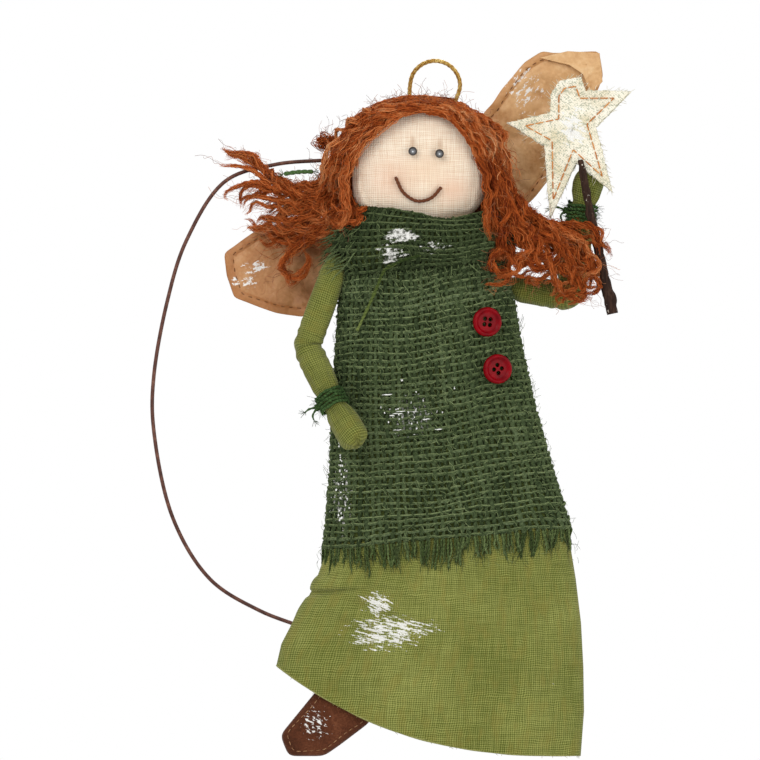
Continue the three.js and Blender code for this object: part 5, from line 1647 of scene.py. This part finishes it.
def strand_look(name, tinted, cloud, clouded, detail, depth, *stops, **shader):
    """Fibre whose shade comes from each strand's tint and a soft cloud."""
    look = Look(name, **shader)
    tone = look.weighted((look.tint(), tinted), (look.noise(look.place(), cloud), clouded))
    look.bump(look.noise(look.place(), 3000.0, detail), depth)
    return look.done(look.ramp(tone, *stops))


jute = strand_look("jute_hair", 0.85, 200.0, 0.30, 2.0, 0.03, (0.15, (116, 44, 10)), (0.48, (188, 92, 36)),
                   (0.75, (214, 132, 76)), (1.0, (236, 184, 132)), roughness=0.7, specular=0.12)
hair_core = grain_look("hair_core", 900.0, 0.4, (0.3, (78, 30, 10)), (0.7, (140, 66, 26)), detail=4.0,
                       draw=(1, 1, 0.25), roughness=0.9, specular=0.05)


def crown_point(alpha, lam, grow):
    """alpha from the parting down a side, in degrees; lam from the front, 0, to the back, 180."""
    a, l = math.radians(alpha), math.radians(lam)
    return CROWN + CROWN_HALF * grow * arr(math.sin(l) * math.sin(a), -math.cos(l), math.sin(l) * math.cos(a))


def lock(points, count, spread, wave, pitch, seed, flat=0.7, ends=(0.8, 1.02), stray=0.06, samples=34):
    """Strands that follow one curled lock of hair. pitch is the length of one curl."""
    r = np.random.default_rng(seed)
    column = (count, 1)
    line = smooth_line(points, 90)
    length = spacing(line).sum()
    curl = FULL * length / pitch
    at = np.clip(np.linspace(0, 1, samples)[None] * r.uniform(*ends, column), 0, 1.0)
    _, across, over = line_frame(line)
    centre, side, deep = (np.stack([np.interp(at, np.linspace(0, 1, len(line)), v) for v in vectors.T], -1)
                          for vectors in (line, across, over))

    def off(sideways, deeper):
        return side * sideways[..., None] + deep * deeper[..., None]

    grow = np.clip(0.25 + at * 2.0, 0, 1)
    phase = r.uniform(0, ANY_TURN)
    spin = curl * at + phase + 1.5 * np.sin(curl * 0.31 * at + r.uniform(0, ANY_TURN))
    uneven = 0.62 + 0.38 * np.sin(curl * 0.23 * at + r.uniform(0, ANY_TURN))
    swing = (wave * uneven * grow)[..., None] * off(np.sin(spin), 0.8 * np.cos(spin))
    width = spread * (0.55 + 0.45 * np.sin(np.pi * np.clip(at * 0.9 + 0.1, 0, 1)))
    angle = r.uniform(0, ANY_TURN, column) + (0.09 * length + r.normal(0, 1.5, column)) * at
    width = width * np.sqrt(r.uniform(0, 1, column))
    place = off(width * np.cos(angle), width * flat * np.sin(angle))
    bends = FULL * length / r.uniform(2.6, 6.0, column) * at
    kinked = r.uniform(0.10, 0.42, column)
    kink = off(kinked * np.sin(bends + r.uniform(0, ANY_TURN, column)),
               kinked * np.sin(1.3 * bends + r.uniform(0, ANY_TURN, column)))
    wild = (r.uniform(0, 1, column) < stray) * r.normal(0, 1, column) * at ** 1.5
    return centre + swing + place + kink + off(3.6 * wild, 1.2 * wild)


def add_lock(pile, points, count, spread, wave, pitch, tone_shift=0.0, fine=1.0, **shape):
    """Lays the strands of one lock, which has a shade of its own."""
    seed = next(seeds)
    paths = lock(points, count, spread, wave, pitch, seed, **shape)
    r = np.random.default_rng(seed + 1000)
    # tone_shift makes the whole lock darker or lighter
    tone = 0.08 + r.uniform(0.0, 1.0) * 0.34 + r.uniform(0, 1, (count, 1)) * 0.5 + tone_shift
    share = np.linspace(0, 1, paths.shape[1])
    taper = np.interp(share, [0, 0.1, 0.8, 1], [0.8, 1, 0.9, 0.3])
    pile.hairs(paths, r.uniform(0.085, 0.15, (count, 1)) * taper * fine, tone + 0.1 * (2 * share - 1))


def in_front(points):
    """Lifts a lock's points in front of the collar and tunic."""
    points = np.array(points, float)
    for p in points:
        middle, wide, _ = section(p[2])
        if abs(p[0] - middle) < wide + 4:
            front = float(body_front(p[0], p[2], 4.0)) - 1.1
            p[1] += np.clip((-41.0 - p[2]) / 5.0, 0.0, 1.0) * min(0.0, front - p[1])
    return points


LEFT_LOCKS = [
    [(-27, 1, -27.9), (-33, 2, -35.4), (-42.8, 3, -36.9), (-49.9, 3.6, -33.5), (-53.2, 4, -29.4),
     (-59.2, 4, -27.1), (-64.1, 4, -26)],
    [(-28.5, 0.5, -30.1), (-34.5, 2, -38.4), (-42.8, 3.2, -37.6), (-48.8, 3.8, -34.3), (-52.5, 4.2, -31.3),
     (-58.5, 4.2, -28.6), (-63, 4.4, -27.9)],
    [(-27, 0, -30.1), (-33, 1.8, -40.6), (-42.8, 2.6, -39.1), (-51.8, 3, -37.6), (-57, 3.2, -38.4),
     (-59.6, 3.4, -41.4), (-57.8, 3.6, -43.3)],
    [(-26.2, 1, -31.6), (-32.2, 2.4, -41.4), (-42, 3.4, -40.6), (-50.2, 3.8, -39.1), (-56.2, 4, -40.3),
     (-58.5, 4, -42.9)],
    [(-26.2, 0, -33.9), (-31.5, 1.6, -42.1), (-40.5, 2.4, -43.6), (-48.8, 3, -42.1), (-55.1, 3.2, -43.3),
     (-57, 3.4, -45.9)],
    [(-26.6, 0.5, -35.4), (-31.5, 2, -44.4), (-37.5, 2.6, -49.3), (-45.8, 3, -50.4), (-54, 3.2, -48.9),
     (-56.6, 3.2, -49.6)],
    [(-26.2, 1, -36.9), (-30, 2.2, -45.9), (-35.2, 3, -50.4), (-42.8, 3.4, -52.6), (-51, 3.6, -51.1),
     (-56.2, 3.8, -48.5)],
    [(-25.5, -0.5, -38.4), (-27, 1, -45.1), (-33, 2, -50.4), (-42, 2.6, -54.1), (-48.4, 3, -53.8)],
    [(-28.5, 1, -44.4), (-34.5, 1.8, -51.1), (-41.2, 2, -55.6), (-45.4, 2, -60.5), (-44.2, 2, -65),
     (-40.5, 2.2, -64.7), (-37.5, 2.4, -60.5), (-38.6, 2.6, -57.1)],
    [(-27, 0, -30.9), (-31.5, 1.2, -38.4), (-36, 2, -44.4), (-44.2, 2.6, -47.4), (-52.5, 3, -46.3)],
    [(-24.8, -0.5, -24.9), (-30, 0.4, -32.4), (-34.1, 1, -36.9), (-33.8, 1.4, -42.9), (-31.5, 1.2, -47.4),
     (-35.2, 1.6, -52.6)],
    [(-24.4, 0.5, -25.6), (-28.5, 1.4, -33.1), (-32.2, 2, -39.1), (-37.5, 3, -42.9), (-45, 3.6, -44.4),
     (-51, 4, -44)],
    [(-23.2, -0.5, -30.1), (-25.5, 0, -37.6), (-26.6, 0.4, -42.9), (-23.2, 0, -46.3), (-28.5, 0.6, -48.5),
     (-33.8, 1, -51.1)],
    [(-25.5, 2, -27.9), (-31.5, 3, -33.9), (-39, 4, -40.6), (-46.5, 4.6, -45.9), (-52.5, 5, -47.4)],
    [(-25.5, 3, -31.6), (-31.5, 4, -40.6), (-37.5, 4.8, -47.4), (-45, 5.2, -51.1), (-50.2, 5.4, -51.9)],
    [(-25.5, 3, -27.9), (-28.5, 4, -26.8), (-32.2, 4.4, -24.1), (-35.6, 4.6, -22.8)],
]
RIGHT_LOCKS = [
    [(13.5, -6, -22.4), (18.5, -6, -31.4), (23.5, -5, -41), (32.5, -0.8, -48.4), (40.5, -2.5, -51),
     (47.5, -6.6, -53.4), (52.5, -6.8, -56.4)],
    [(16.5, -5, -26.4), (22.5, -5, -38), (30.5, -0.8, -49), (39.5, -1.5, -48.9), (47, -6, -50),
     (50.5, -7, -54), (52, -7, -59)],
    [(14.5, -6.6, -24.4), (19.5, -7, -35.4), (24.5, -7.4, -45.4), (30.5, -7.4, -50.9), (38.5, -7.2, -53.9),
     (43, -7, -58.9), (48.5, -7, -62.4)],
    [(13.5, -7, -27.4), (17.5, -7.6, -37.4), (21.5, -8, -45.4), (20.5, -8.4, -53.4), (17.5, -8.4, -60.9),
     (22.5, -8.4, -63.9), (30.5, -8, -62.4)],
    [(15.5, -6, -29.4), (20, -6.8, -39.4), (24.5, -7.6, -49.4), (31.5, -8, -54.4), (30.5, -8.2, -59.4),
     (22.5, -8.6, -59.4), (18, -8.8, -57.4)],
    [(17.5, -7, -33.4), (22.5, -8, -45.4), (27.5, -8.6, -54.4), (23.5, -8.8, -61.4), (19.5, -8.8, -65.9),
     (14.5, -8.8, -67.9)],
    [(18.5, -5.6, -31.4), (25.5, -6.4, -43.4), (36.5, -7, -52.4), (41, -7.2, -61.4), (40.5, -7.2, -68.4),
     (36, -7.2, -71.9), (36.5, -7.2, -73.4)],
    [(19.5, -5, -33.4), (28.5, -5.6, -45.4), (42.5, -6.2, -52.4), (47, -6.6, -59.4), (45, -6.8, -66.4),
     (50, -6.8, -68.4)],
    [(16.5, -6.6, -35.4), (21.5, -7.4, -47.4), (28.5, -7.8, -57.4), (35.5, -7.8, -63.4), (38.5, -7.6, -69.4),
     (45.5, -7.4, -69.4)],
    [(20.5, -4.6, -38.4), (30.5, -5.4, -47.4), (37.5, -6.2, -57.4), (33.5, -6.8, -64.4), (27.5, -7.4, -65.4),
     (31.5, -7.4, -67.9)],
    [(17.5, -4, -29.4), (24.5, -4.8, -41.4), (33.5, -5.4, -49.4), (44.5, -5.8, -55.4), (47.5, -6.2, -63.4),
     (42.5, -6.4, -65.4)],
    [(18.5, -5.4, -37.4), (23.5, -6.4, -49.4), (32.5, -7.2, -58.4), (40.5, -7.4, -62.4), (47, -7.4, -61.4)],
    [(16.5, -7.4, -38.4), (18.5, -8, -49.4), (22.5, -8.6, -57.4), (29.5, -8.8, -61.4), (36.5, -8.8, -59.4),
     (39.5, -8.6, -55.4)],
    [(28, -5, -46), (38, -6, -54), (46, -6.6, -61), (48.5, -6.8, -67), (44, -6.8, -71)],
    [(24, -6, -50), (34, -7, -60), (42, -7, -65), (45.5, -7, -70), (39.5, -7, -72.5)],
    [(21.5, -4.2, -40.4), (29.5, -5, -51.4), (38.5, -5.8, -58.4), (43.5, -6.2, -63.4), (37.5, -6.6, -67.4),
     (34.5, -6.6, -70.4)],
]
CHIN_LOCKS = [
    [(-22.8, -7.4, -23.6), (-25.6, -8, -30), (-27.2, -8.6, -36), (-26.8, -9.2, -41), (-26.4, -9.6, -45.5),
     (-29, -9.6, -50.5)],
    [(-25.6, -5, -31), (-27, -5.6, -38), (-26.4, -6.2, -43), (-27.6, -6.6, -48.5)],
    [(11, -7.4, -23.4), (13.6, -8.6, -30), (15.4, -9.4, -36.5), (15.6, -10.4, -42.5), (15.2, -11.4, -48),
     (16.8, -12.2, -54)],
    [(15, -5, -34), (17, -5.6, -41), (16.8, -6.4, -47), (18.4, -7, -52)],
]
# The hair's inner and outer edge on each side of the face
INNER = {-1: arr([4, -14.8], [-7, -15.6], [-15, -19.2], [-22.4, -26], [-26.4, -34.5], [-27, -43]),
         1: arr([-2, -14.8], [3.4, -16.6], [9.2, -22], [13, -28.4], [15.8, -36], [16.8, -45])}
OUTER = {-1: arr([3, -12.2], [-11, -13.0], [-21.4, -16.8], [-29.8, -23.4], [-33.4, -31], [-34.4, -38]),
         1: arr([-1, -12.2], [6.5, -13.0], [13.4, -16.8], [19, -21.2], [22, -29], [23.5, -38])}
SIDES = (-1, 1)
# A lock with this many points curls back on itself, and waves less
LOOPED = 8


def hair_front(x, z):
    room = 1 - ((x - CROWN[0]) / CROWN_HALF[0]) ** 2 - ((z - CROWN[2]) / CROWN_HALF[2]) ** 2
    return CROWN[1] - 0.86 * CROWN_HALF[1] * math.sqrt(max(room, 0.02))


def down_the_back(p, layer):
    """Points from the top of the head, down its back and on to the collar."""
    points = []
    for t in (6, 30, 55, 80, 102, 122, 138):
        a = math.radians(t)
        wide = math.sin(a) if t <= 90 else math.sin(a) * 0.5 + 0.5
        low = math.cos(a) * (1.0 if t <= 90 else 1.8)
        way = arr(wide * math.sin(p), wide * math.cos(p), low)
        points.append(CROWN + CROWN_HALF * (0.92 + 0.03 * layer) * way)
    return points


def bunch(table, tone_shift, counts, stray, wild, back):
    """The locks of one side, each twice and with loose strands. back is how far the low points move back."""
    pile = Pile()
    for points in table:
        points = np.array(points, float)
        points = points + np.clip((-46 - points[:, 2:]) * 0.35, 0, back) * arr(0, 1, 0)
        calm = 0.35 if len(points) == LOOPED else 1.0
        for twin in range(2):
            shift = r.normal(0, 1.5, 3) * arr(1, 0.6, 1) * twin
            shifted = points + shift * np.linspace(0.3, 1.2, len(points))[:, None]
            add_lock(pile, in_front(shifted), counts[twin], r.uniform(0.75, 1.2), r.uniform(1.0, 1.9) * calm,
                     r.uniform(6.0, 9.0), flat=0.8, ends=(0.9, 1.0), stray=stray,
                     tone_shift=tone_shift + r.uniform(-0.1, 0.1))
        add_lock(pile, in_front(points), counts[2], r.uniform(2.4, 3.6), 1.5, r.uniform(4.5, 7.0), flat=0.6,
                 stray=wild, tone_shift=tone_shift, fine=0.62)
    return pile


crown_pile = Pile()
# A close layer from the parting down both sides of the face
for sign in SIDES:
    for lam in np.linspace(62, 128, 17):
        end = r.uniform(96, 116)
        points = [crown_point(sign * a + 2, lam + r.normal(0, 1.5), 0.90) for a in (1, 22, 45, 68, end)]
        add_lock(crown_pile, points, 34, 1.8, 0.5, 7.0, ends=(0.94, 1.0), stray=0.04, samples=20)
# Curled ropes over it
for sign in SIDES:
    for layer, ropes in ((0, 11), (1, 9)):
        for share in (np.arange(ropes) + 0.5 * layer) / (ropes - 0.5):
            flat = INNER[sign] * (1 - share) + OUTER[sign] * share + r.normal(0, 0.45, (6, 2))
            points = [[x, hair_front(x, z) - 0.3 - 0.9 * layer, z] for x, z in flat]
            inward = 0.35 + 0.65 * min(1.0, share * 4)
            add_lock(crown_pile, in_front(points), 42, r.uniform(0.7, 1.15), r.uniform(0.9, 1.8) * inward,
                     r.uniform(6.0, 9.5), ends=(0.86, 1.0), stray=0.05, tone_shift=r.uniform(-0.22, 0.08))
# Over the parting
for lam in np.linspace(52, 128, 9):
    points = [crown_point(a, lam, 0.93) for a in (-26, -10, 6, 22)]
    add_lock(crown_pile, points, 24, 1.1, 0.5, 7.0, ends=(0.9, 1.0), stray=0.05, samples=20)
# Beside the chin, a tone darker as painted shade in the gap by the face
for points in CHIN_LOCKS:
    add_lock(crown_pile, in_front(points), 50, 1.4, 0.6, 8.0, tone_shift=-0.12)
# Over the back of the head down to the collar
for psi in np.linspace(-80, 80, 19):
    for layer in range(2):
        points = down_the_back(math.radians(psi + r.normal(0, 2)), layer)
        add_lock(crown_pile, points, 26, 1.7 - 0.5 * layer, 0.4 + 0.5 * layer, r.uniform(8, 11),
                 ends=(0.9, 1.0), stray=0.05, samples=20)
# At the nape: how far out and how low each point of a lock lies
NAPE = ((1, -0.1), (0.98, -0.5), (0.93, -0.9), (0.86, -1.22))
for psi in np.linspace(-68, 68, 24):
    p = math.radians(psi)
    nape = CROWN_HALF * arr(0.88 * math.sin(p), 0.88 * math.cos(p), 1)
    points = [CROWN + nape * arr(out, out, low) for out, low in NAPE]
    add_lock(crown_pile, points, 30, 1.6, 0.4, 9.0, ends=(0.94, 1.0), stray=0.0, samples=16, tone_shift=-0.2)
left_pile = bunch(LEFT_LOCKS, -0.14, (60, 46, 22), 0.05, 0.3, 3.5)
right_pile = bunch(RIGHT_LOCKS, -0.26, (48, 34, 9), 0.0, 0.0, 0.0)

# A tangle of short curls beside the crown
loops = 80
spin = steps(26) * r.uniform(4, 10, (loops, 1, 1)) + r.uniform(0, ANY_TURN, (loops, 1, 1))
one, two = (unit(r.normal(size=(loops, 1, 3)) * arr(1, 0.5, 1)) for _ in range(2))
curls = (arr(-33, 4.4, -24.2) + r.normal(0, 1, (loops, 1, 3)) * arr(1.3, 0.7, 0.9)
         + (one * np.cos(spin) + two * np.sin(spin)) * r.uniform(0.7, 2.0, (loops, 1, 1)))
left_pile.hairs(curls, r.uniform(0.07, 0.12, (loops, 1)), r.uniform(-0.1, 0.45, (loops, 1)))

# A shrunken, grooved copy of the crown's solid under the strands, pressed back behind the face, dark as
# painted shade of the hair's depths
core, points, normals = softened_copy("crown_core", "hair_crown", hair_core, 0.7, 3)
points = points - normals * (0.9 - 0.25 * Ripple(141, 3.0)(points * arr(1, 1, 0.35)))[:, None]
x, y, z = points.T
left, right = (np.interp(z, INNER[sign][::-1, 1], INNER[sign][::-1, 0]) for sign in SIDES)
bare = (x > left + 0.4) & (x < right - 0.4) & (z < -15.5)
points[:, 1] = np.where(bare, np.maximum(y, 0.0), y)
move_points(core, points)
give(core, "body", "jute_hair", "hair_crown")
for name, pile, node in (("crown_strands", crown_pile, "hair_crown"),
                         ("left_strands", left_pile, "hair_left_bunch"),
                         ("right_strands", right_pile, "hair_right_bunch")):
    give_split(pile, name, jute, "body", "jute_hair", node)

# Frizz: single fine fibres round the hair
frizz = strand_look("hair_frizz", 1.0, 300.0, 0.2, 3.0, 0.01, (0.1, (96, 60, 52)), (0.5, (150, 92, 66)),
                    (0.95, (196, 130, 88)), roughness=0.8, specular=0.1)
frizz_pile = Pile()
share = steps(16)
for pile, count, middle, reach in ((left_pile, 330, arr(-36, 4, -46), 6.5),
                                   (right_pile, 300, arr(30, -5, -54), 5.0),
                                   (crown_pile, 700, CROWN, 3.4)):
    spots = pile.points()
    one_each = (count, 1, 1)
    starts = spots[r.integers(0, len(spots), count)]
    aim = unit((starts - middle) * arr(1, 0.25, 1) + r.normal(0, 3.5, (count, 3)) * arr(1, 0.3, 1))[:, None]
    length = r.uniform(0.35, 1.3, one_each) * reach
    side = unit(np.cross(aim, arr(0, 1, 0)))
    wave = np.sin(share * r.uniform(4, 12, one_each) + r.uniform(0, 6, one_each))
    paths = starts[:, None] + aim * share * length + side * wave * r.uniform(0.3, 1.2, one_each) * share
    paths = paths + share ** 2 * r.normal(0, 1.4, (count, 1, 3)) * arr(1, 0.4, 1)
    frizz_pile.hairs(paths, r.uniform(0.035, 0.06, (count, 1)), r.uniform(0, 0.9, (count, 1)))
give(frizz_pile.build("hair_frizz", frizz), "body", "jute_hair")

# Green yarn end in the left hair
pile = Pile()
yarn_line = smooth_line([(-45.4, 0.4, -33.6), (-41, 0.2, -33.0), (-36.4, 0.6, -32.9)], 30)
pile.plied(yarn_line, 0.72, 10, 0.7, 0.15, 1.8)
for end, sign in ((yarn_line[0], -1), (yarn_line[-1], 1)):
    for _ in range(8):
        way = arr(sign * rng.uniform(0.8, 2.2), rng.normal(0, 0.4), rng.normal(0, 0.9))
        pile.fibre(end, way, 0.07, rng.uniform(0.3, 1), 6, THROUGH)
give(pile.build("hair_yarn_end", cuff_look), "body", "green_yarn", "hair_yarn")

# Wires inside the arms
steel = grain_look("core_wire", 1500.0, 0.02, (0.3, (130, 130, 128)), (0.7, (172, 172, 170)), roughness=0.35,
                   metallic=0.9, specular=0.5)
for side in ARMS:
    for part in ("upper_arm_wire", "forearm_wire"):
        node = frame["nodes"][side + "_" + part]
        node.data.materials.clear()
        node.data.materials.append(steel)
